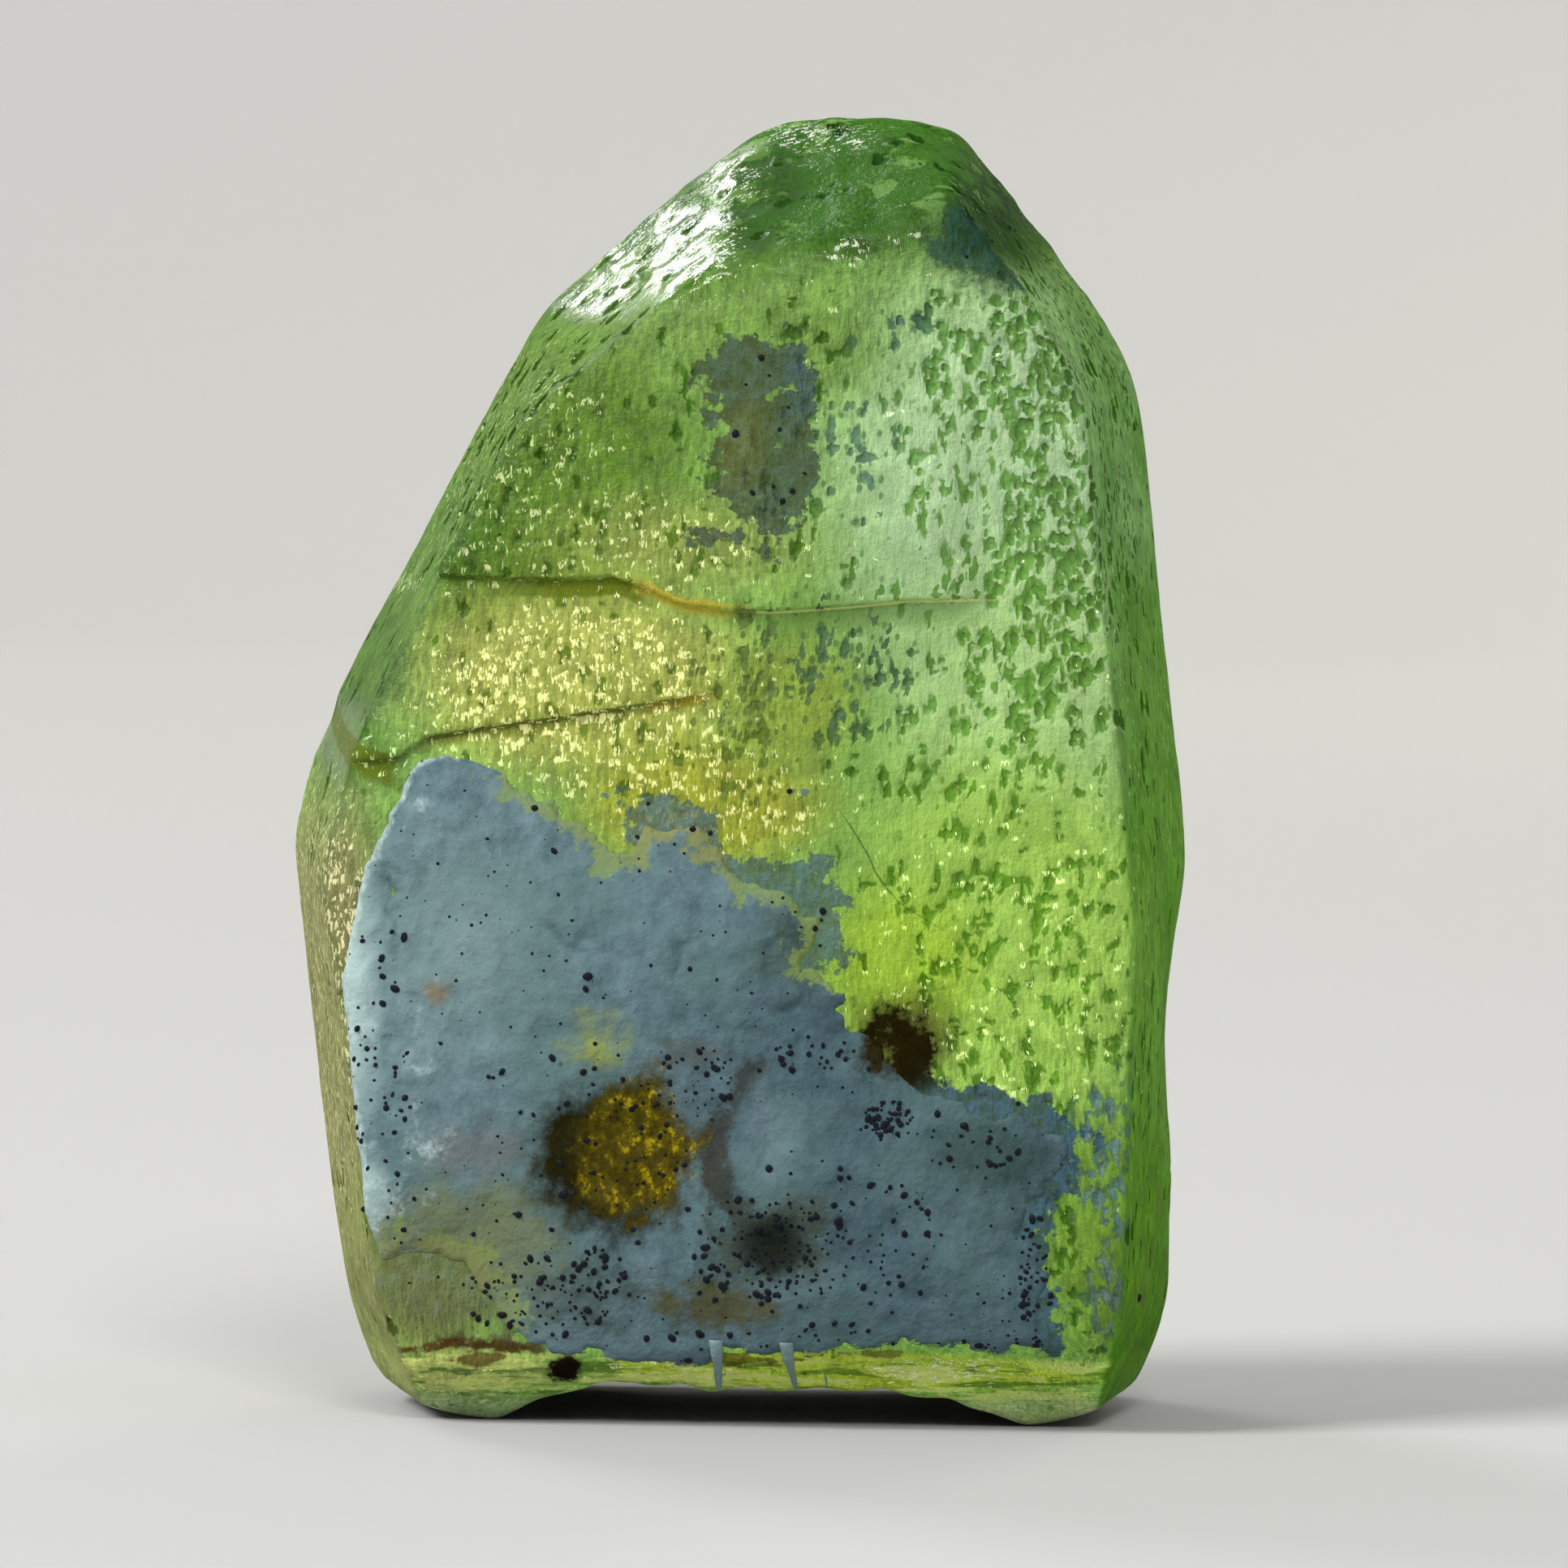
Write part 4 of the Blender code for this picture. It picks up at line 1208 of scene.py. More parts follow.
@dataclass(frozen=True)
class PaperFinish:
    """Plain pale studio paper."""

    colour: Triple = (0.56, 0.56, 0.55)

    def make(self) -> bpy.types.Material:
        """Build the material with a faint tooth."""
        material, board, shader = new_finish("studio_paper")
        tooth = board.noise(board.millimetres(), 0.8, detail=2.0)
        darker = tuple(part * 0.985 for part in self.colour)
        board.fill(shader, Base_Color=board.blend(tooth, darker, self.colour), Roughness=0.9)
        return material


# -------------------------------------------------------------------- pieces
@dataclass
class PeridotCrystal:
    """The crystal: a flattened prism with a roof-like tip, four feet and etched faces."""

    width: float = 28.9
    depth: float = 18.6
    height: float = 42.0
    cells: tuple[int, int, int] = (270, 90, 380)
    triangles: int = 188000
    flat_under: float = 0.16
    body: CrystalBody = field(default_factory=CrystalBody)
    relief: CrystalRelief = field(default_factory=CrystalRelief)
    crust_outline: tuple[Pair, ...] = ()
    base_tint: Triple = paint(140, 186, 88)
    # Colours of the front, partly the crystal's own and partly painted light: the mint, lime, gold and base
    # zones are brighter where light shines through the stone, and the deep greens at the edges and tip darker
    # where it is shaded.
    tints: tuple[Tint, ...] = tint_rows(
        ("mint, upper right", (8.4, 30.5, 7.7, 9.5, 0.35), (194, 232, 176)),
        ("mint, right of the middle", (9.0, 23.5, 6.0, 6.5, 0.3), (190, 232, 148)),
        ("green, upper left", (-7.5, 31.0, 8.5, 8.0, 0.45), (98, 136, 32)),
        ("deep green, left over the ledge", (-9.8, 28.6, 2.6, 2.0, 0.3), (66, 112, 20), 0.8),
        ("green under the tip", (0.3, 34.5, 5.8, 3.0, 0.3), (126, 164, 74)),
        ("gold haze over the ledge", (-2.0, 28.2, 6.4, 2.4, 0.1), (162, 172, 82), 0.8),
        ("green tip", (2.0, 40.3, 10.0, 4.0, 0.5), (56, 106, 18)),
        # Painted shade on the tip's right side.
        ("darker right of the tip", (8.5, 38.8, 3.2, 3.0, 0.3), (14, 62, 0)),
        ("gold, left of the middle", (-5.0, 23.8, 7.5, 4.2, 0.4), (180, 184, 84)),
        ("green at the left end of the gold", (-12.4, 24.6, 2.4, 3.0, 0.4), (50, 92, 20)),
        ("gold above the crust", (-1.2, 20.0, 5.5, 2.8, 0.4), (166, 170, 50)),
        ("olive between gold and mint", (1.5, 23.2, 3.2, 3.2, 0.3), (150, 172, 64)),
        ("lime, lower right", (8.2, 15.5, 6.5, 8.5, 0.45), (176, 220, 94)),
        ("lime beside the crust", (5.2, 15.0, 3.8, 3.8, 0.3), (170, 208, 56)),
        ("olive round the knot", (5.3, 12.7, 2.5, 2.0, 0.3), (88, 84, 10)),
        ("lime, low on the right", (12.0, 6.5, 3.4, 5.5, 0.4), (122, 162, 48)),
        ("olive corner", (13.2, 3.6, 2.2, 2.4, 0.3), (112, 138, 44)),
        ("straw left edge", (-13.2, 12.8, 3.0, 10.4, 0.45), (150, 146, 94)),
        ("hazy olive, low on the left", (-10.0, 4.2, 3.8, 2.6, 0.4), (124, 130, 74)),
        ("lime base", (4.0, 1.9, 10.0, 0.8, 0.6), (206, 224, 60)),
        ("straw base", (-8.5, 1.7, 4.8, 1.1, 0.3), (212, 218, 124)),
        # Painted shade under the base band, between the feet.
        ("dark green under the band", (0.8, 0.8, 5.6, 0.45, 0.3), (52, 98, 12)),
        ("pale left foot", (-8.5, 0.2, 4.5, 1.0, 0.4), (168, 190, 138)),
        ("pale right foot", (10.0, 0.3, 4.5, 1.1, 0.4), (204, 218, 158)),
    )
    back_tints: tuple[Tint, ...] = tint_rows(
        ("paler, upper back", (1.0, 30.0, 10.0, 9.0, 0.2), (128, 164, 92)),
        ("olive, lower back", (-2.0, 9.0, 11.0, 10.0, 0.2), (116, 142, 62)),
        ("green tip, back", (2.0, 40.3, 10.0, 4.0, 0.5), (56, 106, 18)),
    )
    flank_tints: tuple[FlankTint, ...] = (
        # The right flank's deep green is partly painted shade.
        FlankTint("deep green with painted shade, right", 1.0, -5.0, 36.0, paint(76, 138, 4)),
        FlankTint("straw, lower left", -1.0, -5.0, 20.0, paint(130, 134, 84)),
        FlankTint("green, upper left", -1.0, 20.0, 45.0, paint(90, 120, 60)),
    )
    stains: tuple[Stain, ...] = (
        Stain("clay film on the upper face",
              ((1.0, 35.0), (2.2, 34.1), (2.1, 32.2), (2.0, 30.1), (2.1, 29.4), (1.3, 28.3), (0.4, 28.6),
               (-0.5, 28.0), (-1.6, 28.3), (-1.0, 29.2), (-1.0, 30.0), (-1.3, 31.6), (-1.5, 33.0),
               (-1.1, 34.3),
               (-0.1, 34.8)),
              1.05, paint(69, 82, 56), 0.94),
        Stain("soft film by the tip",
              oval(7.6, 37.8, 1.9, 1.3, 30.0), 0.8, paint(40, 70, 48), 0.90, weight=2.0, tear=1.8),
        Stain("film over the crust's thin end",
              ((-4.0, 20.2), (-1.7, 20.0), (-0.2, 18.9), (1.5, 18.3), (3.6, 17.2), (2.9, 15.4), (3.2, 14.0),
               (0.5, 13.5), (-3.0, 17.0)), 1.2, paint(76, 96, 84), 0.90),
        Stain("film at the crust's point",
              ((6.0, 11.6), (8.2, 11.0), (11.4, 9.9), (10.9, 8.0), (9.9, 6.4), (10.4, 4.8), (10.3, 2.7),
               (7.0, 3.2), (5.0, 8.0)), 0.8, paint(58, 80, 84), 0.96),
        Stain("thin film low on the left",
              ((-11.8, 7.4), (-8.0, 8.2), (-4.0, 6.0), (-4.0, 2.9), (-8.0, 3.1), (-11.6, 4.0)),
              1.6, paint(104, 112, 70), 0.75, tear=1.6),
        Stain("gold in the middle of the upper film", oval(-0.1, 31.4, 0.7, 1.4, 10.0), 0.8,
              paint(104, 98, 44), 0.92),
        Stain("slate at the upper film's edge", oval(1.6, 33.4, 0.6, 1.1), 0.7, paint(62, 82, 84), 0.94),
        Stain("brown knot by the crust",
              ((3.7, 13.2), (4.9, 13.8), (6.2, 13.4), (6.6, 12.4), (6.2, 11.4), (5.2, 11.2), (4.2, 12.2)),
              0.9, paint(28, 22, 1), 1.0, weight=12.0, tear=1.8),
        Stain("clay in the pits, right", oval(12.3, 9.0, 1.4, 2.4), 1.3, paint(92, 124, 120), 0.85,
              Spread.DOTS),
        Stain("clay in the pits, low right", oval(12.7, 4.6, 1.2, 1.7), 1.2, paint(96, 122, 112), 0.80,
              Spread.DOTS),
        Stain("clay in the pits, middle", oval(2.4, 24.4, 2.8, 2.0), 1.8, paint(78, 106, 76), 0.95,
              Spread.DOTS),
        Stain("clay in the pits, over the gold", oval(0.2, 22.6, 2.0, 3.4), 1.8, paint(96, 112, 38), 0.95,
              Spread.DOTS),
        Stain("clay in the pits, under the tip", oval(4.6, 35.2, 1.2, 1.0), 1.2, paint(84, 120, 100), 0.60,
              Spread.DOTS),
        Stain("clay in the pits, beside the film", oval(3.6, 31.0, 1.0, 1.8), 1.4, paint(92, 126, 104), 0.85,
              Spread.DOTS),
        Stain("dotted spot", oval(1.9, 20.4, 0.45, 0.24), 0.38, paint(84, 96, 92), 0.9),
        Stain("dark spot low right", oval(13.0, 4.2, 0.35, 0.30), 0.4, paint(44, 44, 40), 0.9),
        Stain("long rust streak, base left", oval(-7.7, 2.66, 1.8, 0.26, 4.0), 0.3, paint(62, 24, 2), 1.0,
              tear=2.0),
        Stain("thin rust streak, base left", oval(-9.8, 2.45, 1.0, 0.18, -8.0), 0.25, paint(78, 42, 12), 0.95,
              tear=2.0),
        Stain("low rust streak, base left", oval(-8.2, 2.15, 1.1, 0.20, -5.0), 0.3, paint(84, 48, 14), 0.9,
              tear=2.0),
        Stain("dark rust spot, base left", oval(-5.25, 1.8, 0.6, 0.5), 0.45, paint(20, 10, 2), 1.0,
              weight=4.0, tear=1.4),
        Stain("rust, base middle", oval(0.9, 2.3, 1.6, 0.15), 0.25, paint(78, 50, 16), 0.85),
        Stain("rust, base right", oval(4.6, 2.55, 2.2, 0.14, -2.0), 0.25, paint(86, 62, 18), 0.80),
    )
    # Where the painted glints lie, and how thick they are.
    sparkles: tuple[Share, ...] = (
        (Spot(-5.0, 23.2, 8.0, 4.6, 0.35), 1.00), (Spot(-0.6, 20.0, 5.6, 3.0, 0.3), 0.90),
        (Spot(-13.6, 13.0, 2.8, 10.4, 0.5), 1.00), (Spot(-8.0, 30.5, 5.5, 6.0, 0.4), 0.66),
        (Spot(-2.5, 28.4, 7.0, 3.0, 0.1), 0.70), (Spot(8.0, 14.5, 7.0, 9.5, 0.4), 0.36),
        (Spot(12.0, 20.0, 1.4, 14.0, 0.4), 0.30), (Spot(-11.2, 26.8, 1.1, 0.6, 0.5), 1.20),
        (Spot(-11.6, 21.2, 1.4, 0.7, 0.4), 0.70), (Spot(0.0, 0.8, 15.0, 1.6, 0.6), 0.35),
    )
    # Where the shader's etch pits lie; they get painted shade inside and a painted highlight on their rims.
    pitted: tuple[Share, ...] = (
        (Spot(11.2, 30.5, 2.2, 9.5, 0.5), 0.38), (Spot(9.5, 36.0, 3.0, 2.5, 0.4), 0.40),
        (Spot(8.0, 28.0, 5.5, 11.0, 0.3), 0.22), (Spot(12.0, 15.0, 3.0, 10.0, 0.4), 0.16),
        (Spot(4.0, 25.0, 8.0, 4.0, 0.4), 0.18),
    )
    # Where the painted sheen lies: the glossy facet by the tip, small spots near it, the base band and the
    # right flank.
    gleams: tuple[Share, ...] = (
        (Spot(-2.2, 37.8, 2.6, 1.7, 0.45), 1.25), (Spot(-5.2, 35.9, 1.9, 0.9, 0.3), 0.85),
        (Spot(-0.6, 39.8, 1.8, 1.2, 0.3), 0.80), (Spot(2.2, 41.3, 2.6, 0.7, 0.4), 0.95),
        (Spot(3.1, 37.7, 1.0, 0.6, 0.4), 0.85), (Spot(5.0, 38.0, 0.8, 0.4, 0.3), 0.80),
        (Spot(6.8, 2.0, 3.4, 0.6, 0.5), 0.95), (Spot(-2.0, 1.9, 3.2, 0.4, 0.5), 0.60),
        (Spot(13.9, 27.0, 0.5, 7.0, 0.4), 0.50),
    )
    glossy_spots: tuple[Spot, ...] = (
        Spot(-2.3, 37.6, 4.6, 2.3, 0.5), Spot(-5.0, 36.2, 2.4, 1.3, 0.4), Spot(0.2, 39.8, 2.8, 1.6, 0.4),
        Spot(3.0, 37.7, 1.5, 0.7, 0.4), Spot(-12.6, 21.6, 1.6, 2.0, 0.5),
    )
    crack_line: tuple[Pair, ...] = ((3.1, 20.0), (3.9, 18.8), (4.4, 17.8), (5.0, 17.0), (6.7, 16.0))
    shift: Array = field(default_factory=lambda: np.zeros(3))
    piece: bpy.types.Object = None

    def build(self) -> None:
        """Draw a finely cut block in to the body, press its relief in, and thin the mesh."""
        cells = self.cells
        places, faces = box_shell(cells)
        heart = np.array(self.body.heart)
        half = np.array([self.width, self.depth, self.height]) * 0.5
        directions = np.array([0.0, 0.0, self.height * 0.5]) + (2.0 * places - 1.0) * half - heart
        directions /= np.linalg.norm(directions, axis=1, keepdims=True)
        points = self.body.draw_in(directions)
        normals = self.body.normals(points)
        depth = np.zeros(len(points))
        for pits in self.relief.pit_fields:
            depth = np.maximum(depth, PitCutter(pits, self.crust_outline).press(points, normals))
        points = points + normals * (self.relief.low(points, normals) - depth)[:, None]
        points[:, 2] = np.maximum(points[:, 2], points[:, 2].min() + self.flat_under)
        self.shift = self._shift(points)
        self.piece = solid_piece("etched_crystal", points + self.shift, faces)
        thin_out(self.piece, self.triangles)
        self._mark(points + self.shift, depth)

    def _shift(self, points: Array) -> Array:
        """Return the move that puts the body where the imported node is."""
        low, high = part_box("peridot_crystal")
        want_low, want_high = np.array(low) / MM, np.array(high) / MM
        middle = 0.5 * (want_low + want_high) - 0.5 * (points.min(axis=0) + points.max(axis=0))
        return np.array([middle[0], middle[1], want_low[2] - points[:, 2].min()])

    def skin(self, x: Array, z: Array) -> tuple[Array, Array]:
        """Return points and normals of the front face, with its low relief, over the front view."""
        bare = self.body.front(x - self.shift[0], z - self.shift[2])
        normals = self.body.normals(bare)
        return bare + normals * self.relief.low(bare, normals)[:, None] + self.shift, normals

    def _mark(self, before: Array, depth: Array) -> None:
        """Keep the pits, colours with painted light, painted glints and sheen, films and gloss on the
        vertices of the thinned mesh.
        """
        places = places_of(self.piece)
        deep = np.flatnonzero(depth > 0.004)
        tree = KDTree(len(deep))
        for index in deep:
            tree.insert(before[index], index)
        tree.balance()
        pit = np.zeros(len(places))
        for number, place in enumerate(places):
            near, index, gap = tree.find(place)
            if near is not None and gap < 0.14:
                pit[number] = depth[index]
        normals = self.body.normals(places - self.shift)
        facing = smooth_step(0.20, 0.50, -normals[:, 1])
        front = smooth_step(-0.30, 0.20, -normals[:, 1])
        flank = 1.0 - smooth_step(0.25, 0.60, np.abs(normals[:, 1]))
        x, z = places[:, 0], places[:, 2]
        back = self._colours(self.back_tints, x, z)
        tint = blend_towards(back, self.front_colours_with_painted_light(x, z), front)
        for side in self.flank_tints:
            tint = blend_towards(tint, side.colour, 0.95 * side.weight(places, normals))
        # Painted glints: flecks of colour that stand in for light caught by the etched facets.
        sparkle = strongest(self.sparkles, x, z, 0.07) * np.maximum(facing, 0.7)
        gloss = strongest([(spot, 1.0) for spot in self.glossy_spots], x, z) * front
        etched = Spot(7.0, 24.0, 7.0, 14.0, 0.4).weight(x, z)
        upper_right = smooth_step(-4.0, 8.0, x) * smooth_step(14.0, 22.0, z)
        # pit, pitted and rims place the painted shade in the pits and the painted highlight on their rims.
        keep(
            self.piece, pit=np.clip(pit / 0.07, 0.0, 1.0), tint=tint,
            front=smooth_step(-0.05, 0.12, -normals[:, 1]),
            sparkle=0.14 + (sparkle - 0.14) * front, gleam=strongest(self.gleams, x, z) * front,
            frost=0.9 - 0.75 * gloss, cover=(0.54 + 0.44 * flank) * (1.0 - 0.4 * gloss),
            etch=0.12 + 0.16 * upper_right, pitted=strongest(self.pitted, x, z, 0.04),
            rims=facing * Spot(8.5, 29.0, 8.5, 9.5, 0.35).weight(x, z), striation=0.8 - 0.6 * etched,
            band=smooth_step(2.5, 2.1, z) * smooth_step(0.6, 1.0, z) * facing,
            broken=smooth_step(-0.4, 0.8, z - 36.9 - 0.27 * x),
        )
        self._mark_stains(x, z, facing)
        self._mark_crack(x, z, facing)

    def front_colours_with_painted_light(self, x: Array, z: Array) -> Array:
        """Return the crystal's colour at places in the front view, with painted light: brighter where light
        shines through the stone, darker where it is shaded.
        """
        return self._colours(self.tints, x, z)

    def _colours(self, tints: Sequence[Tint], x: Array, z: Array) -> Array:
        """Return the base colour with some zones laid over it."""
        colours = np.tile(np.array(self.base_tint), (len(x), 1))
        for zone in tints:
            colours = blend_towards(colours, zone.colour, zone.strength * zone.spot.weight(x, z))
        return colours

    def _mark_stains(self, x: Array, z: Array, facing: Array) -> None:
        """Keep the films and the clay that fills pits on the vertices."""
        film = StainMarks.of(self.stains, Spread.PATCH, x, z)
        fill = StainMarks.of(self.stains, Spread.DOTS, x, z)
        keep(self.piece, film=film.ramp * facing, film_cover=film.cover, film_colour=film.colour,
             film_tear=film.tear, fill=fill.ramp * fill.cover * facing, fill_colour=fill.colour)

    def _mark_crack(self, x: Array, z: Array, facing: Array) -> None:
        """Keep how far each vertex lies to one side of the hairline crack."""
        line = np.array(self.crack_line)
        level = np.interp(z, line[::-1, 1], line[::-1, 0])
        top, foot = line[0, 1], line[-1, 1]
        within = smooth_step(foot - 0.1, foot + 0.5, z) * smooth_step(top, top - 0.4, z)
        keep(self.piece, crack=x - level, crack_reach=within * facing)

    def dress(self, material: bpy.types.Material) -> None:
        """Give the crystal its finish and its place in the frame."""
        self.piece.data.materials.clear()
        self.piece.data.materials.append(material)
        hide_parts("peridot_crystal")
        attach(self.piece, "root")


@dataclass
class MatrixCrust:
    """The crust: a thin stony skin over the lower front, with a raised, broken left edge."""

    outline: tuple[Pair, ...] = (
        (-10.4, 21.2), (-9.4, 21.35), (-8.3, 21.0), (-6.7, 20.3), (-5.3, 19.5), (-4.7, 18.9), (-4.1, 18.1),
        (-3.4, 18.5), (-3.0, 19.3), (-1.7, 19.1), (-0.4, 18.1), (1.2, 17.3), (2.7, 16.4), (2.2, 15.3),
        (2.9, 14.0), (4.0, 12.6), (6.0, 10.8), (7.7, 10.2), (10.4, 9.4), (9.8, 8.0), (9.4, 6.5), (9.9, 5.0),
        (9.7, 3.9), (9.9, 2.9), (7.8, 2.8), (2.6, 2.4), (-0.1, 2.3), (-2.7, 2.3), (-5.3, 2.5), (-7.2, 3.4),
        (-8.6, 5.2), (-10.4, 5.6), (-11.2, 5.2), (-11.8, 6.8), (-12.0, 8.8), (-12.35, 11.7), (-12.6, 14.3),
        (-12.35, 15.9), (-12.0, 17.8), (-11.3, 19.4), (-10.75, 20.4),
    )
    haze: Triple = paint(150, 150, 92)
    cell: float = 0.115
    triangles: int = 120000
    embed: float = 0.12
    left_thickness: float = 0.60
    right_thickness: float = 0.26
    paints: tuple[Stain, ...] = (
        Stain("brown of the amber", oval(-4.0, 8.5, 2.6, 2.4, 20.0), 1.3, paint(28, 26, 0), 1.0, weight=3.0),
        Stain("brown line right of the amber",
              ((0.2, 12.1), (0.9, 11.7), (0.1, 10.2), (-0.3, 8.6), (0.3, 7.4), (1.0, 6.4), (0.2, 6.2),
               (-0.8, 7.3), (-1.3, 8.6), (-0.6, 10.3)), 0.6, paint(44, 38, 28), 0.80, tear=9.0),
        Stain("brown knot over the crust's edge", oval(4.9, 12.3, 1.1, 0.9, -30.0), 0.9, paint(38, 31, 4),
              1.0, weight=8.0, tear=6.0),
        Stain("brown marks over the amber", oval(-1.0, 12.0, 1.1, 0.6), 0.7, paint(74, 78, 70), 0.55,
              tear=8.0),
        Stain("reddish marks", oval(-8.2, 8.9, 1.6, 0.8), 1.0, paint(104, 100, 98), 0.45),
        Stain("soot by the knob", oval(1.2, 6.0, 0.9, 0.9, 20.0), 0.7, paint(10, 15, 6), 1.0, weight=6.0),
        Stain("soot round the knob", oval(1.2, 6.2, 2.0, 1.5, -10.0), 1.4, paint(58, 66, 52), 0.75, tear=7.0),
        Stain("olive brown under the soot", oval(-0.6, 4.1, 2.0, 0.7), 0.9, paint(70, 68, 32), 0.85,
              tear=6.0),
        Stain("soot, lower left", oval(-5.0, 4.3, 1.8, 1.0), 1.3, paint(56, 66, 56), 0.6, tear=6.0),
        Stain("olive, low on the left", oval(-8.4, 5.8, 3.0, 2.0), 1.8, paint(110, 118, 80), 0.75),
        Stain("slate at the right point", oval(8.2, 9.0, 2.0, 1.1), 1.2, paint(50, 72, 70), 0.85),
        Stain("slate under the thin end", oval(2.3, 15.6, 1.5, 1.4), 1.3, paint(66, 86, 74), 0.70),
        Stain("tan fleck", oval(-9.55, 13.8, 0.30, 0.22), 0.5, paint(122, 106, 74), 0.75),
        Stain("green spot", oval(-4.3, 12.2, 0.5, 0.5), 1.5, paint(140, 150, 52), 0.90),
        # Painted highlight on the smooth knob.
        Stain("painted highlight on the knob", oval(1.1, 9.5, 0.6, 1.6, -8.0), 1.4, paint(116, 138, 144), 0.42),
        Stain("amber", ((-2.5, 11.7), (-1.9, 10.3), (-1.2, 9.6), (-1.2, 8.4), (-2.1, 7.1), (-3.6, 6.8),
                        (-4.7, 7.4),
                        (-5.1, 8.8), (-4.5, 10.2), (-3.4, 11.2)), 1.2, paint(76, 67, 0), 1.0, Spread.GLASSY),
    )
    # Where the painted light lies, paler on the upper left and along the left edge.
    painted_light_spots: tuple[Share, ...] = (
        (Spot(-9.5, 15.5, 5.0, 6.5, 0.1), 0.20), (Spot(-12.5, 14.0, 1.7, 7.0, 0.2), 0.80),
        (Spot(-11.7, 7.0, 1.0, 2.6, 0.3), 0.60),
    )
    knobs: tuple[Share, ...] = (
        (Spot(2.2, 7.9, 2.3, 2.5, 0.3), 0.30), (Spot(2.8, 4.2, 2.0, 1.3, 0.3), 0.16),
    )
    dells: tuple[Share, ...] = (
        (Spot(0.4, 5.4, 1.8, 1.8, 0.2), 0.22), (Spot(-0.9, 9.3, 1.0, 2.6, 0.2), 0.14),
        (Spot(-3.6, 8.9, 3.0, 3.0, 0.3), 0.20),
    )
    dusty: tuple[Share, ...] = (
        (Spot(-6.0, 4.1, 3.2, 1.5, 0.4), 0.50), (Spot(1.3, 6.0, 2.6, 2.0, 0.3), 0.62),
        (Spot(5.0, 10.0, 1.2, 0.9, 0.4), 0.45), (Spot(8.6, 4.5, 1.6, 2.2, 0.4), 0.30),
        (Spot(-1.2, 11.0, 2.2, 1.6, 0.3), 0.35),
    )
    piece: bpy.types.Object = None
    crystal: PeridotCrystal = None

    def edge(self, x: Array, z: Array) -> Array:
        """Return how far places lie inside the crust's torn outline, in millimetres."""
        flat = np.stack([x, np.zeros(len(x)), z], axis=1)
        ragged = 0.06 + 0.12 * smooth_step(-12.4, -11.0, x) + 0.22 * smooth_step(-9.5, -4.0, x)
        tear = lattice_noise(flat, 1.15, 41) + 0.6 * lattice_noise(flat, 0.5, 42)
        tear += 0.35 * lattice_noise(flat, 0.26, 43)
        return outline_distance(x, z, self.outline) + ragged * tear

    def thickness(self, x: Array, z: Array) -> Array:
        """Return how far the crust stands over the crystal."""
        edge = self.edge(x, z)
        flat = np.stack([x, np.zeros(len(x)), z], axis=1)
        leftness = 1.0 - smooth_step(-11.5, -2.0, x)
        body = self.right_thickness + (self.left_thickness - self.right_thickness) * leftness
        run = 2.6 - 2.25 * (1.0 - smooth_step(-11.0, -7.5, x))
        shoulder = smooth_step(0.0, 1.0, np.clip(edge / run, 0.0, 1.0)) ** 0.8
        lumps = 0.12 * lattice_noise(flat, 3.1, 45) + 0.10 * lattice_noise(flat, 1.4, 46)
        lumps += 0.045 * lattice_noise(flat, 0.6, 47) + 0.020 * lattice_noise(flat, 0.3, 48)
        lumps -= 0.10 * self._folds(flat)
        knob = sum(height * spot.weight(x, z) for spot, height in self.knobs)
        dell = sum(height * spot.weight(x, z) for spot, height in self.dells)
        whole = (body + lumps + knob - dell) * shoulder + self._flakes(x, z, edge) * shoulder
        low_left = smooth_step(8.0, 5.0, z) * smooth_step(-4.5, -7.5, x)
        return np.maximum(whole * (1.0 - 0.85 * low_left) + 0.03 * low_left, -0.03)

    @staticmethod
    def _folds(flat: Array) -> Array:
        """Return where short broken creases run through the crust, 1 in their middles."""
        crease = np.abs(lattice_noise(flat, (1.3, 1.0, 2.4), 49) + 0.35 * lattice_noise(flat, 0.5, 50))
        broken = smooth_step(0.05, 0.55, lattice_noise(flat, 1.9, 53))
        return (1.0 - smooth_step(0.0, 0.22, crease)) * broken * smooth_step(9.0, 15.0, flat[:, 2])

    def _flakes(self, x: Array, z: Array, edge: Array) -> Array:
        """Return the low steps in which the upper left edge has flaked."""
        flat = np.stack([x, np.zeros(len(x)), z], axis=1)
        wander = 0.7 * lattice_noise(flat, 1.3, 51) + 0.35 * lattice_noise(flat, 0.5, 52)
        height = np.zeros(len(x))
        for inset, drop in ((0.50, 0.15), (1.15, 0.14), (2.1, 0.12)):
            height -= drop * (1.0 - smooth_step(inset - 0.08, inset + 0.08, edge + wander))
        return height * smooth_step(8.0, 13.0, z) * (1.0 - smooth_step(-6.5, -3.5, x))

    def build(self, crystal: PeridotCrystal) -> None:
        """Lay a closed skin on the crystal's front.

        Args:
            crystal: The crystal that carries the crust, already built.
        """
        self.crystal = crystal
        x, z, faces = self._grid()
        bare, normals = crystal.skin(x, z)
        over = bare + normals * self.thickness(x, z)[:, None]
        under = bare - normals * self.embed
        count = len(x)
        border = open_edges(faces, count)
        walls = np.stack([border[:, 1], border[:, 0], border[:, 0] + count, border[:, 1] + count], axis=1)
        self.piece = solid_piece("stony_crust", np.concatenate([over, under]),
                                 np.concatenate([faces, faces[:, ::-1] + count, walls]))
        thin_out(self.piece, self.triangles)
        self._mark()

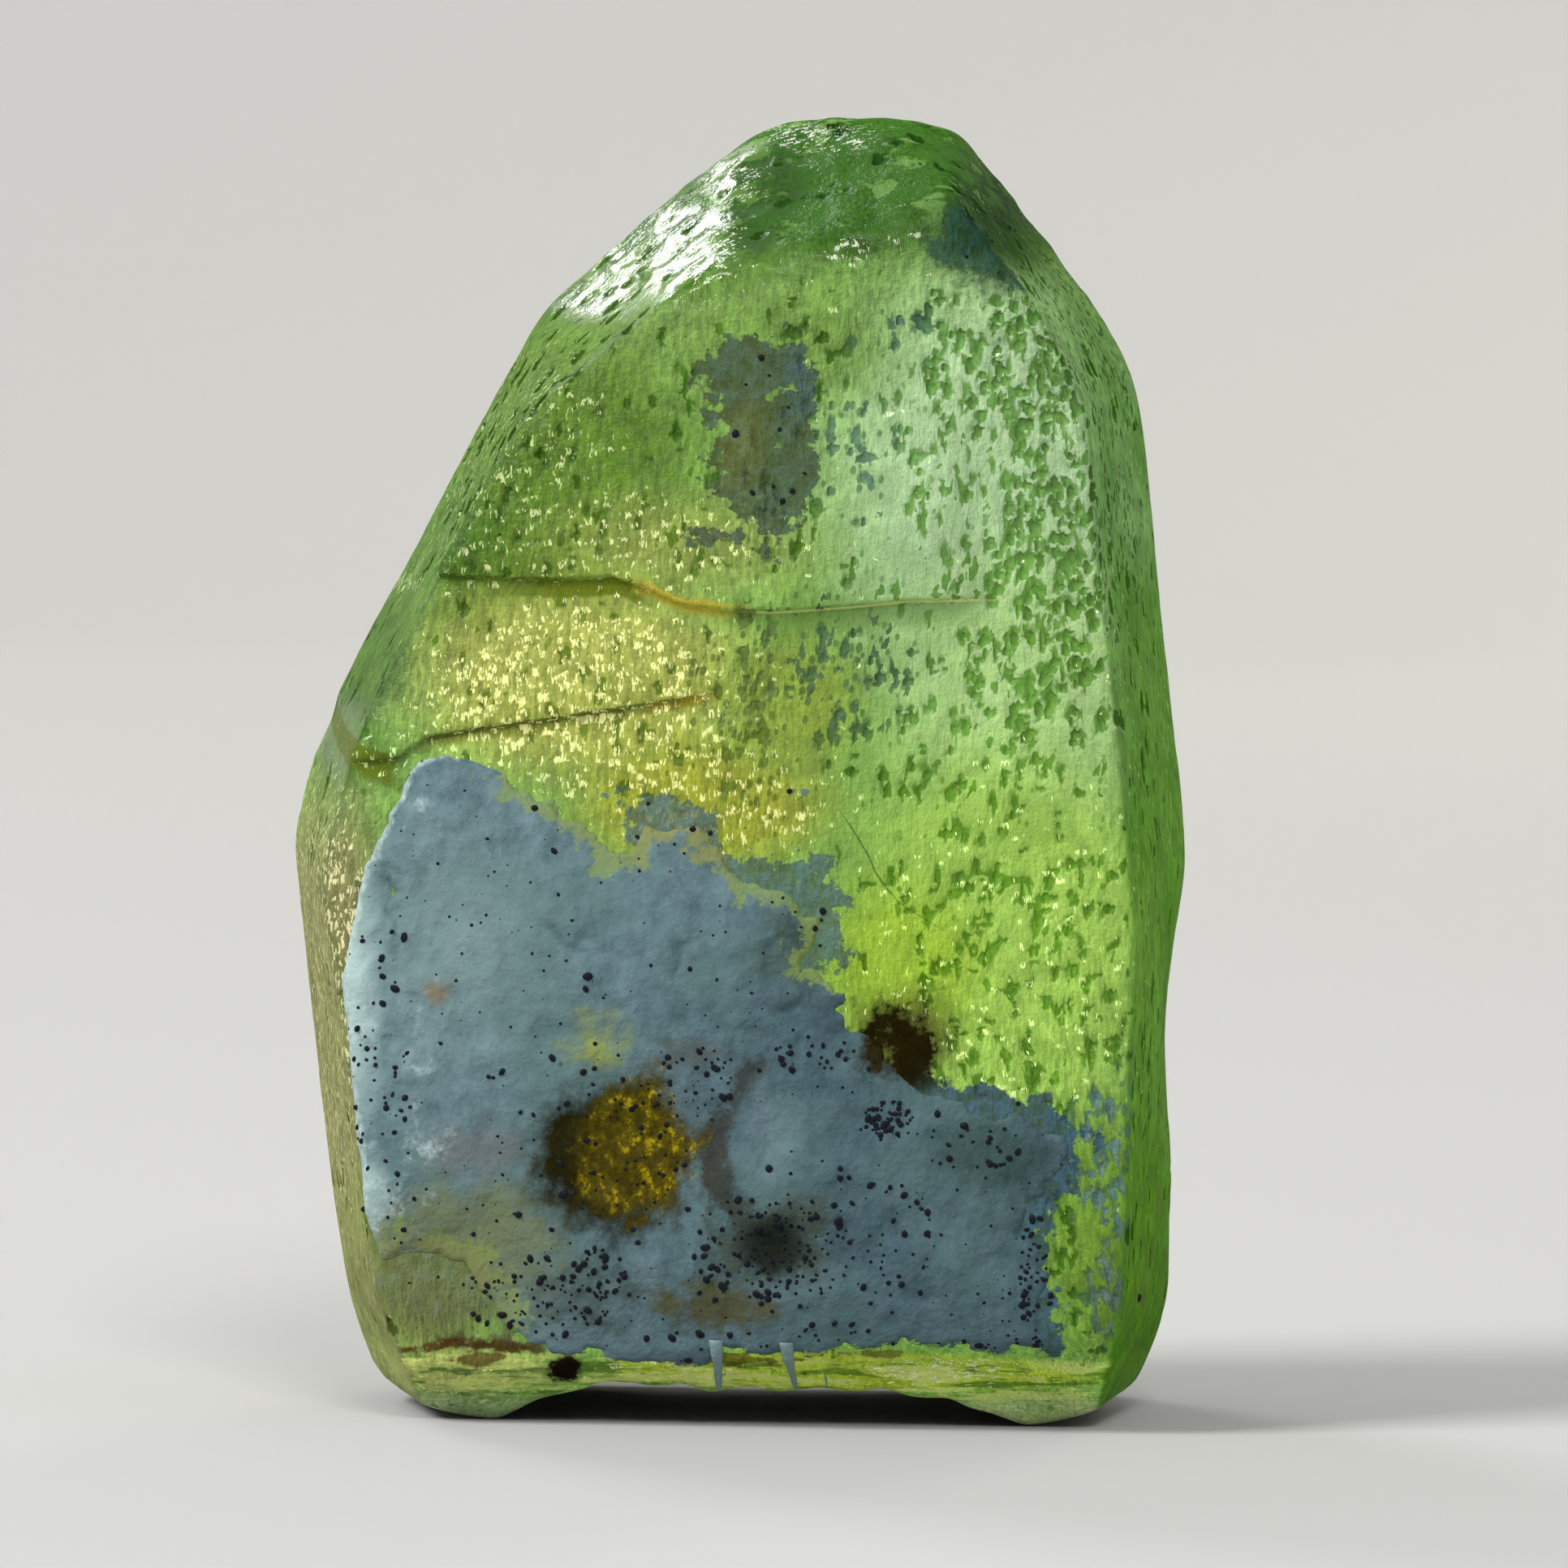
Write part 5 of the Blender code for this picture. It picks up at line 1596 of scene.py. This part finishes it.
    def _grid(self) -> tuple[Array, Array, Array]:
        """Return places inside the torn outline, drawn onto its edge at the border, and their quads."""
        corners = np.array(self.outline)
        low, high = corners.min(axis=0) - 0.6, corners.max(axis=0) + 0.6
        columns = int(math.ceil((high[0] - low[0]) / self.cell)) + 1
        rows = int(math.ceil((high[1] - low[1]) / self.cell)) + 1
        x, z = np.meshgrid(low[0] + self.cell * np.arange(columns), low[1] + self.cell * np.arange(rows),
                           indexing="ij")
        x, z = x.ravel(), z.ravel()
        kept = (self.edge(x, z) > 0.0).reshape(columns, rows)
        whole = kept[:-1, :-1] & kept[1:, :-1] & kept[1:, 1:] & kept[:-1, 1:]
        column, row = np.nonzero(self._joined(whole))
        start = column * rows + row
        faces = np.stack([start, start + rows, start + rows + 1, start + 1], axis=1)
        used, faces = np.unique(faces, return_inverse=True)
        faces = faces.reshape(-1, 4)
        x, z = x[used], z[used]
        border = np.unique(open_edges(faces, len(x)))
        step = SLOPE_STEP
        for _ in range(4):
            bx, bz = x[border], z[border]
            value = self.edge(bx, bz)
            slope_x = (self.edge(bx + step, bz) - self.edge(bx - step, bz)) / (2.0 * step)
            slope_z = (self.edge(bx, bz + step) - self.edge(bx, bz - step)) / (2.0 * step)
            steep = np.maximum(slope_x ** 2 + slope_z ** 2, 0.3)
            move = np.clip(value / steep, -0.5 * self.cell, 0.5 * self.cell) * 0.6
            x[border] -= np.clip(move * slope_x, -0.05, 0.05)
            z[border] -= np.clip(move * slope_z, -0.05, 0.05)
        return x, z, faces

    @staticmethod
    def _joined(cells: Array) -> Array:
        """Drop cells that hang on by a corner, so that the skin's edge is one clean line."""
        result = cells.copy()
        for _ in range(3):
            padded = np.pad(result, 1)
            level = padded[:-2, 1:-1] | padded[2:, 1:-1]
            upright = padded[1:-1, :-2] | padded[1:-1, 2:]
            result = result & level & upright
            northwest, southeast = result[:-1, :-1], result[1:, 1:]
            northeast, southwest = result[:-1, 1:], result[1:, :-1]
            northwest &= ~(northwest & southeast & ~northeast & ~southwest)
            northeast &= ~(northeast & southwest & ~northwest & ~southeast)
        return result

    def _mark(self) -> None:
        """Keep the painted highlight on the left edge, painted light and shade, painted shade in the creases,
        paint and dust on the vertices.
        """
        places = places_of(self.piece)
        x, z = places[:, 0], places[:, 2]
        edge = self.edge(x, z)
        leftness = 1.0 - smooth_step(-10.5, -7.0, x)
        # Painted highlight along the raised left edge, with painted light over the left side.
        worn = (1.0 - smooth_step(0.02, 0.40, edge)) * leftness
        flat = np.stack([x, np.zeros(len(x)), z], axis=1)
        high = lattice_noise(flat, 1.4, 46) * 0.5 + lattice_noise(flat, 0.6, 47) * 0.5
        low_left = smooth_step(7.5, 5.0, z) * smooth_step(-5.5, -8.0, x)
        open_edge = np.maximum(low_left, smooth_step(-9.5, -6.5, x) * smooth_step(13.0, 15.0, z))
        # worn is a painted highlight on the raised left edge with painted light over the left side, pale is
        # painted light on the upper left, hollow is painted shade in the creases, and shade is painted shade
        # to the lower right.
        keep(
            self.piece, worn=np.clip(np.maximum(0.62 * worn, (0.22 + 0.4 * high) * leftness), 0.0, 1.0),
            pale=strongest(self.painted_light_spots, x, z) * (1.0 + 0.5 * high), hollow=self._folds(flat),
            thin=np.clip(1.0 - edge / (1.1 + 1.8 * low_left), 0.0, 1.0) * open_edge,
            under=0.34 * self.crystal.front_colours_with_painted_light(x, z) + 0.34 * np.array(self.haze),
            shade=smooth_step(-6.0, 3.0, x) * smooth_step(20.0, 12.0, z),
            dust=strongest(self.dusty, x, z, 0.10),
        )
        patch = StainMarks.of(self.paints, Spread.PATCH, x, z)
        run = StainMarks.of(self.paints, Spread.GLASSY, x, z)
        keep(self.piece, paint=patch.ramp, paint_cover=patch.cover, paint_colour=patch.colour,
             paint_tear=patch.tear, resin=run.ramp, resin_cover=run.cover, resin_colour=run.colour)

    def dress(self, material: bpy.types.Material) -> None:
        """Give the crust its finish and its place in the frame."""
        self.piece.data.materials.clear()
        self.piece.data.materials.append(material)
        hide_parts("matrix_crust")
        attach(self.piece, "root")


@dataclass(frozen=True)
class Swarm:
    """A cluster of ore grains."""

    spot: Spot
    count: int


@dataclass
class OreGrains:
    """Black ore grains that sit in the crust and in the clay films."""

    swarms: tuple[Swarm, ...] = (
        Swarm(Spot(-2.0, 10.5, 11.5, 10.0, 0.8), 170), Swarm(Spot(-6.3, 4.2, 2.6, 1.3, 0.5), 70),
        Swarm(Spot(-4.3, 5.0, 0.9, 0.8, 0.4), 30), Swarm(Spot(4.9, 10.05, 0.85, 0.65, 0.4), 46),
        Swarm(Spot(3.6, 12.0, 3.2, 0.5, 0.6), 34), Swarm(Spot(-1.2, 11.6, 1.2, 0.8, 0.4), 24),
        Swarm(Spot(9.6, 5.2, 0.6, 1.9, 0.6), 44), Swarm(Spot(8.6, 2.9, 1.9, 0.4, 0.6), 30),
        Swarm(Spot(7.6, 9.3, 1.6, 0.9, 0.5), 24), Swarm(Spot(-11.4, 10.5, 1.2, 4.4, 0.6), 44),
        Swarm(Spot(1.2, 5.9, 2.6, 1.8, 0.4), 100), Swarm(Spot(4.6, 6.2, 2.4, 2.2, 0.5), 44),
        Swarm(Spot(-3.4, 8.8, 2.9, 2.7, 0.7), 44), Swarm(Spot(0.8, 31.2, 1.3, 3.2, 0.7), 13),
        Swarm(Spot(1.7, 3.0, 5.0, 0.6, 0.6), 30), Swarm(Spot(7.8, 37.9, 1.0, 0.7, 0.6), 4),
    )
    large: tuple[tuple[float, float, float], ...] = (
        (-4.72, 14.45, 0.135), (-4.78, 14.05, 0.09), (-6.55, 19.75, 0.11), (2.68, 16.65, 0.13),
        (2.45, 16.1, 0.09), (-11.3, 14.9, 0.10), (-1.5, 19.2, 0.09), (-5.9, 18.4, 0.09), (13.0, 4.25, 0.15),
        (1.55, 20.45, 0.08),
    )
    filmed: int = 5        # how many of the crystal's stains, from the first, carry grains
    small_radius: float = 0.045
    spread: float = 0.075
    seed: int = 61
    piece: bpy.types.Object = None

    def build(self, crystal: PeridotCrystal, crust: MatrixCrust) -> None:
        """Scatter grains over the crust and the films.

        Args:
            crystal: The crystal, for grains that sit in its films.
            crust: The crust that carries most of the grains.
        """
        chooser = np.random.default_rng(self.seed)
        spots = []
        for swarm in self.swarms:
            for _ in range(swarm.count):
                away, turn = math.sqrt(chooser.uniform()), chooser.uniform(0.0, 2.0 * math.pi)
                radius = self.small_radius + self.spread * chooser.uniform() ** 2.2
                spots.append((swarm.spot.x + swarm.spot.half_x * away * math.cos(turn),
                              swarm.spot.z + swarm.spot.half_z * away * math.sin(turn), radius))
        grains = np.array(spots + list(self.large))
        x, z = grains[:, 0], grains[:, 1]
        edge = crust.edge(x, z)
        on_film = np.zeros(len(x), dtype=bool)
        for stain in crystal.stains[:self.filmed]:
            on_film |= outline_distance(x, z, stain.outline) > 0.1
        named = np.arange(len(x)) >= len(spots)
        kept = (edge > 0.1) | on_film | named
        grains, x, z, edge = grains[kept], x[kept], z[kept], edge[kept]
        bare, normals = crystal.skin(x, z)
        height = np.where(edge > 0.0, crust.thickness(x, z), 0.0)
        carrier = self._carrier(bare + normals * (height + 0.1 * grains[:, 2])[:, None], normals,
                                grains[:, 2])
        self.piece = self._scatter(carrier)

    @staticmethod
    def _carrier(places: Array, normals: Array, radii: Array) -> bpy.types.Object:
        """Return loose points that know their radius and which way is out."""
        mesh = bpy.data.meshes.new("ore_grains")
        mesh.from_pydata([tuple(place) for place in places * MM], [], [])
        carrier = bpy.data.objects.new("ore_grains", mesh)
        bpy.context.scene.collection.objects.link(carrier)
        keep(carrier, grain_size=radii * MM)
        out = mesh.attributes.new("out", "FLOAT_VECTOR", "POINT")
        out.data.foreach_set("vector", normals.astype(np.float32).ravel())
        return carrier

    def _scatter(self, carrier: bpy.types.Object) -> bpy.types.Object:
        """Put a small rough grain on each point and make the result a plain mesh."""
        tree = bpy.data.node_groups.new("Ore Grains", "GeometryNodeTree")
        sockets = {label: tree.interface.new_socket(label, in_out="INPUT", socket_type="NodeSocket" + kind)
                   for label, kind in (("Geometry", "Geometry"), ("Flatness", "Float"),
                                       ("Unevenness", "Float"), ("Finish", "Material"))}
        tree.interface.new_socket("Geometry", in_out="OUTPUT", socket_type="NodeSocketGeometry")
        board = NodeBoard(tree)
        given, result = board.add("NodeGroupInput").outputs, board.add("NodeGroupOutput")

        ball = board.fill(board.add("GeometryNodeMeshIcoSphere"), Radius=1.0, Subdivisions=2)
        rough = board.fill(board.add("ShaderNodeTexNoise", noise_dimensions="3D"), Scale=1.3).outputs[0]
        push = board.add("ShaderNodeVectorMath", operation="SCALE")
        board.feed(push.inputs[0], board.add("GeometryNodeInputNormal").outputs[0])
        board.fill(push, Scale=board.times(board.minus(rough, 0.5), given["Unevenness"]))
        lump = board.fill(board.add("GeometryNodeSetPosition"), Geometry=ball.outputs["Mesh"],
                          Offset=push.outputs[0])

        radius = self._kept(board, "FLOAT", "grain_size")
        turn = board.fill(board.add("FunctionNodeAlignRotationToVector", axis="Z"),
                          Vector=self._kept(board, "FLOAT_VECTOR", "out"))
        about = board.fill(board.add("FunctionNodeAxisAngleToRotation"), Axis=(0.0, 0.0, 1.0),
                           Angle=self._chance(board, 0.0, 2.0 * math.pi, self.seed))
        both = board.add("FunctionNodeRotateRotation", rotation_space="LOCAL")
        board.feed(both.inputs[0], turn.outputs[0])
        board.feed(both.inputs[1], about.outputs[0])
        longer = board.times(radius, self._chance(board, 0.8, 1.5, self.seed + 1))
        shape = board.fill(board.add("ShaderNodeCombineXYZ"), X=longer, Y=radius,
                           Z=board.times(radius, given["Flatness"]))

        points = board.fill(board.add("GeometryNodeMeshToPoints"), Mesh=given["Geometry"])
        placed = board.fill(board.add("GeometryNodeInstanceOnPoints"), Points=points.outputs[0],
                            Instance=lump.outputs[0], Rotation=both.outputs[0], Scale=shape.outputs[0])
        real = board.fill(board.add("GeometryNodeRealizeInstances"), Geometry=placed.outputs[0])
        painted = board.fill(board.add("GeometryNodeSetMaterial"), Geometry=real.outputs[0],
                             Material=given["Finish"])
        board.fill(result, Geometry=painted.outputs[0])
        maker = carrier.modifiers.new("grains", "NODES")
        maker.node_group = tree
        maker[sockets["Flatness"].identifier] = 0.55
        maker[sockets["Unevenness"].identifier] = 0.7
        maker[sockets["Finish"].identifier] = bpy.data.materials["ore_grain_finish"]
        settle(carrier)
        return carrier

    @staticmethod
    def _kept(board: NodeBoard, kind: str, name: str) -> Socket:
        """Read what the points keep under a name."""
        node = board.add("GeometryNodeInputNamedAttribute", data_type=kind)
        return board.fill(node, Name=name).outputs["Attribute"]

    @staticmethod
    def _chance(board: NodeBoard, low: float, high: float, seed: int) -> Socket:
        """Return a random number for each point."""
        node = board.fill(board.add("FunctionNodeRandomValue", data_type="FLOAT"), Seed=seed)
        node.inputs[2].default_value = low
        node.inputs[3].default_value = high
        return node.outputs[1]

    def dress(self) -> None:
        """Give the grains their place in the frame."""
        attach(self.piece, "root")


@dataclass
class ClayThreads:
    """Thin threads of clay that ran down from the crust's lower edge and dried."""

    paths: tuple[tuple[Triple, ...], ...] = (
        ((-0.50, 2.90, 0.24), (-0.46, 2.40, 0.19), (-0.42, 2.05, 0.14), (-0.40, 1.60, 0.11),
         (-0.38, 1.10, 0.07)),
        ((1.74, 2.90, 0.24), (1.82, 2.40, 0.18), (1.90, 2.05, 0.12), (2.00, 1.60, 0.09), (2.12, 1.15, 0.06)),
        ((3.02, 1.75, 0.035), (3.06, 1.50, 0.03), (3.10, 1.22, 0.025)),
    )
    sides: int = 10
    piece: bpy.types.Object = None

    def build(self, crystal: PeridotCrystal) -> None:
        """Sweep a flattened round along each thread's path, on the crystal's skin.

        Args:
            crystal: The crystal that carries the threads.
        """
        places, faces = [], []
        for path in self.paths:
            along = np.linspace(0.0, len(path) - 1.0, 6 * len(path))
            x, z, radius = (np.interp(along, np.arange(len(path)), column) for column in zip(*path))
            skin, normals = crystal.skin(x, z)
            start, rings = len(places), len(x)
            for centre, normal, size in zip(skin + normals * 0.02, normals, radius):
                for turn in np.arange(self.sides) * 2.0 * math.pi / self.sides:
                    across = np.array([size * math.cos(turn), 0.0, 0.0])
                    places.append(centre + across + normal * 0.6 * size * math.sin(turn))
            faces += ring_quads(rings, self.sides, start)
            for ring, flip in ((0, False), (rings - 1, True)):
                first = start + ring * self.sides
                for number in range(0, self.sides - 2, 2):
                    quad = (first, first + number + 1, first + number + 2, first + (number + 3) % self.sides)
                    faces.append(quad[::-1] if flip else quad)
        self.piece = solid_piece("clay_threads", np.array(places), np.array(faces))

    def dress(self, material: bpy.types.Material) -> None:
        """Give the threads the crust's finish and their place in the frame."""
        self.piece.data.materials.append(material)
        keep(self.piece, pale=np.full(len(self.piece.data.vertices), 0.3))
        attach(self.piece, "root")


# -------------------------------------------------------------------- studio
@dataclass(frozen=True)
class Lamp:
    """A soft rectangular light: where it stands, its size, power, colour and what it aims at."""

    name: str
    place: Triple
    size: Pair
    power: float
    colour: Triple
    aim: Triple = (0.0, 0.0, 0.020)


@dataclass
class Studio:
    """Pale paper, soft light and the camera."""

    floor_radius: float = 0.75
    wall_height: float = 0.60
    bend: float = 0.35
    lamps: tuple[Lamp, ...] = (
        Lamp("key", (-0.95, -0.62, 0.90), (0.50, 0.50), 18.0, (1.0, 0.985, 0.96)),
        Lamp("front", (0.20, -1.20, 0.85), (0.35, 0.35), 8.5, (1.0, 1.0, 0.98)),
        Lamp("rim", (-0.57, 0.98, 0.70), (0.34, 0.30), 6.0, (1.0, 1.0, 1.0)),
        Lamp("warm_back", (0.35, 0.85, 0.30), (0.25, 0.20), 1.2, (1.0, 0.92, 0.70)),
    )
    world_strength: float = 0.36
    path_settings: dict[str, object] = field(default_factory=lambda: {
        "use_denoising": True, "use_light_tree": False, "caustics_reflective": False,
        "caustics_refractive": False,
        "max_bounces": 3, "transmission_bounces": 3, "diffuse_bounces": 1, "glossy_bounces": 1,
    })
    aim: Triple = (1.38, 0.0, 20.30)
    elevation: float = 2.5
    distance: float = 0.45
    span: float = 50.9
    roll: float = 0.948

    def build(self) -> None:
        """Set up the paper, the lamps and the camera."""
        self._paper()
        for lamp in self.lamps:
            self._light(lamp)
        world = bpy.data.worlds.new("studio_air")
        world.use_nodes = True
        NodeBoard(world.node_tree).fill(world.node_tree.nodes["Background"], Color=(0.96, 0.98, 1.0, 1.0),
                                        Strength=self.world_strength)
        bpy.context.scene.world = world
        for name, value in self.path_settings.items():
            setattr(bpy.context.scene.cycles, name, value)
        bpy.context.scene.view_settings.view_transform = "Standard"
        self._camera()

    def _paper(self) -> None:
        """Make a round floor that curves up into a wall."""
        profile = [(0.0, 0.0)] + [(self.floor_radius * part, 0.0) for part in (0.25, 0.5, 0.75, 1.0)]
        for number in range(1, 13):
            turn = 0.5 * math.pi * number / 12
            profile.append((self.floor_radius + self.bend * math.sin(turn),
                            self.bend * (1.0 - math.cos(turn))))
        profile.append((self.floor_radius + self.bend, self.wall_height))
        sides = 96
        vertices, faces = [(0.0, 0.0, 0.0)], []
        for radius, height in profile[1:]:
            for number in range(sides):
                turn = 2.0 * math.pi * number / sides
                vertices.append((radius * math.cos(turn), radius * math.sin(turn), height))
        for number in range(sides):
            faces.append((0, 1 + number, 1 + (number + 1) % sides))
        faces += ring_quads(len(profile) - 1, sides, 1)
        mesh = bpy.data.meshes.new("studio_floor")
        mesh.from_pydata(vertices, [], faces)
        for polygon in mesh.polygons:
            polygon.use_smooth = True
        mesh.materials.append(PaperFinish().make())
        floor = bpy.data.objects.new("studio_floor", mesh)
        bpy.context.scene.collection.objects.link(floor)

    @staticmethod
    def _light(lamp: Lamp) -> None:
        """Hang one lamp, aimed at the stone."""
        data = bpy.data.lights.new(lamp.name, "AREA")
        data.shape = "RECTANGLE"
        data.size, data.size_y = lamp.size
        data.energy = lamp.power
        data.color = lamp.colour
        light = bpy.data.objects.new(lamp.name, data)
        light.location = lamp.place
        towards = Vector(lamp.aim) - light.location
        light.rotation_euler = towards.to_track_quat("-Z", "Y").to_euler()
        light.visible_camera = False
        bpy.context.scene.collection.objects.link(light)

    def _camera(self) -> None:
        """Stand the camera in front of the stone, a little above it."""
        data = bpy.data.cameras.new("camera")
        data.sensor_width = 36.0
        data.lens = data.sensor_width * self.distance / (self.span * MM)
        data.dof.use_dof = False
        data.clip_start, data.clip_end = 0.01, 10.0
        camera = bpy.data.objects.new("camera", data)
        lift = math.radians(self.elevation)
        aim = Vector(self.aim) * MM
        back = Vector((0.0, -math.cos(lift), math.sin(lift)))
        camera.location = aim + back * self.distance
        turn = (-back).to_track_quat("-Z", "Y").to_matrix()
        camera.rotation_euler = (turn @ Matrix.Rotation(math.radians(self.roll), 3, "Z")).to_euler()
        bpy.context.scene.collection.objects.link(camera)
        bpy.context.scene.camera = camera


def report(piece: bpy.types.Object) -> None:
    """Log a finished piece's name and size."""
    piece.data.calc_loop_triangles()
    LOG.info("%s: %d triangles", piece.name, len(piece.data.loop_triangles))


def main() -> None:
    """Build the stone's pieces in order, dress them and set up the studio."""
    logging.basicConfig(level=logging.INFO, format="%(name)s: %(message)s")
    effects = EffectGroups()
    peridot, matrix = PeridotFinish().make(effects), MatrixFinish().make(effects)
    OreFinish().make(effects)
    crust = MatrixCrust()
    crystal = PeridotCrystal(crust_outline=crust.outline)
    crystal.build()
    crystal.dress(peridot)
    report(crystal.piece)
    crust.build(crystal)
    crust.dress(matrix)
    report(crust.piece)
    grains = OreGrains()
    grains.build(crystal, crust)
    grains.dress()
    report(grains.piece)
    threads = ClayThreads()
    threads.build(crystal)
    threads.dress(matrix)
    report(threads.piece)
    Studio().build()


if __name__ == "__main__":
    main()
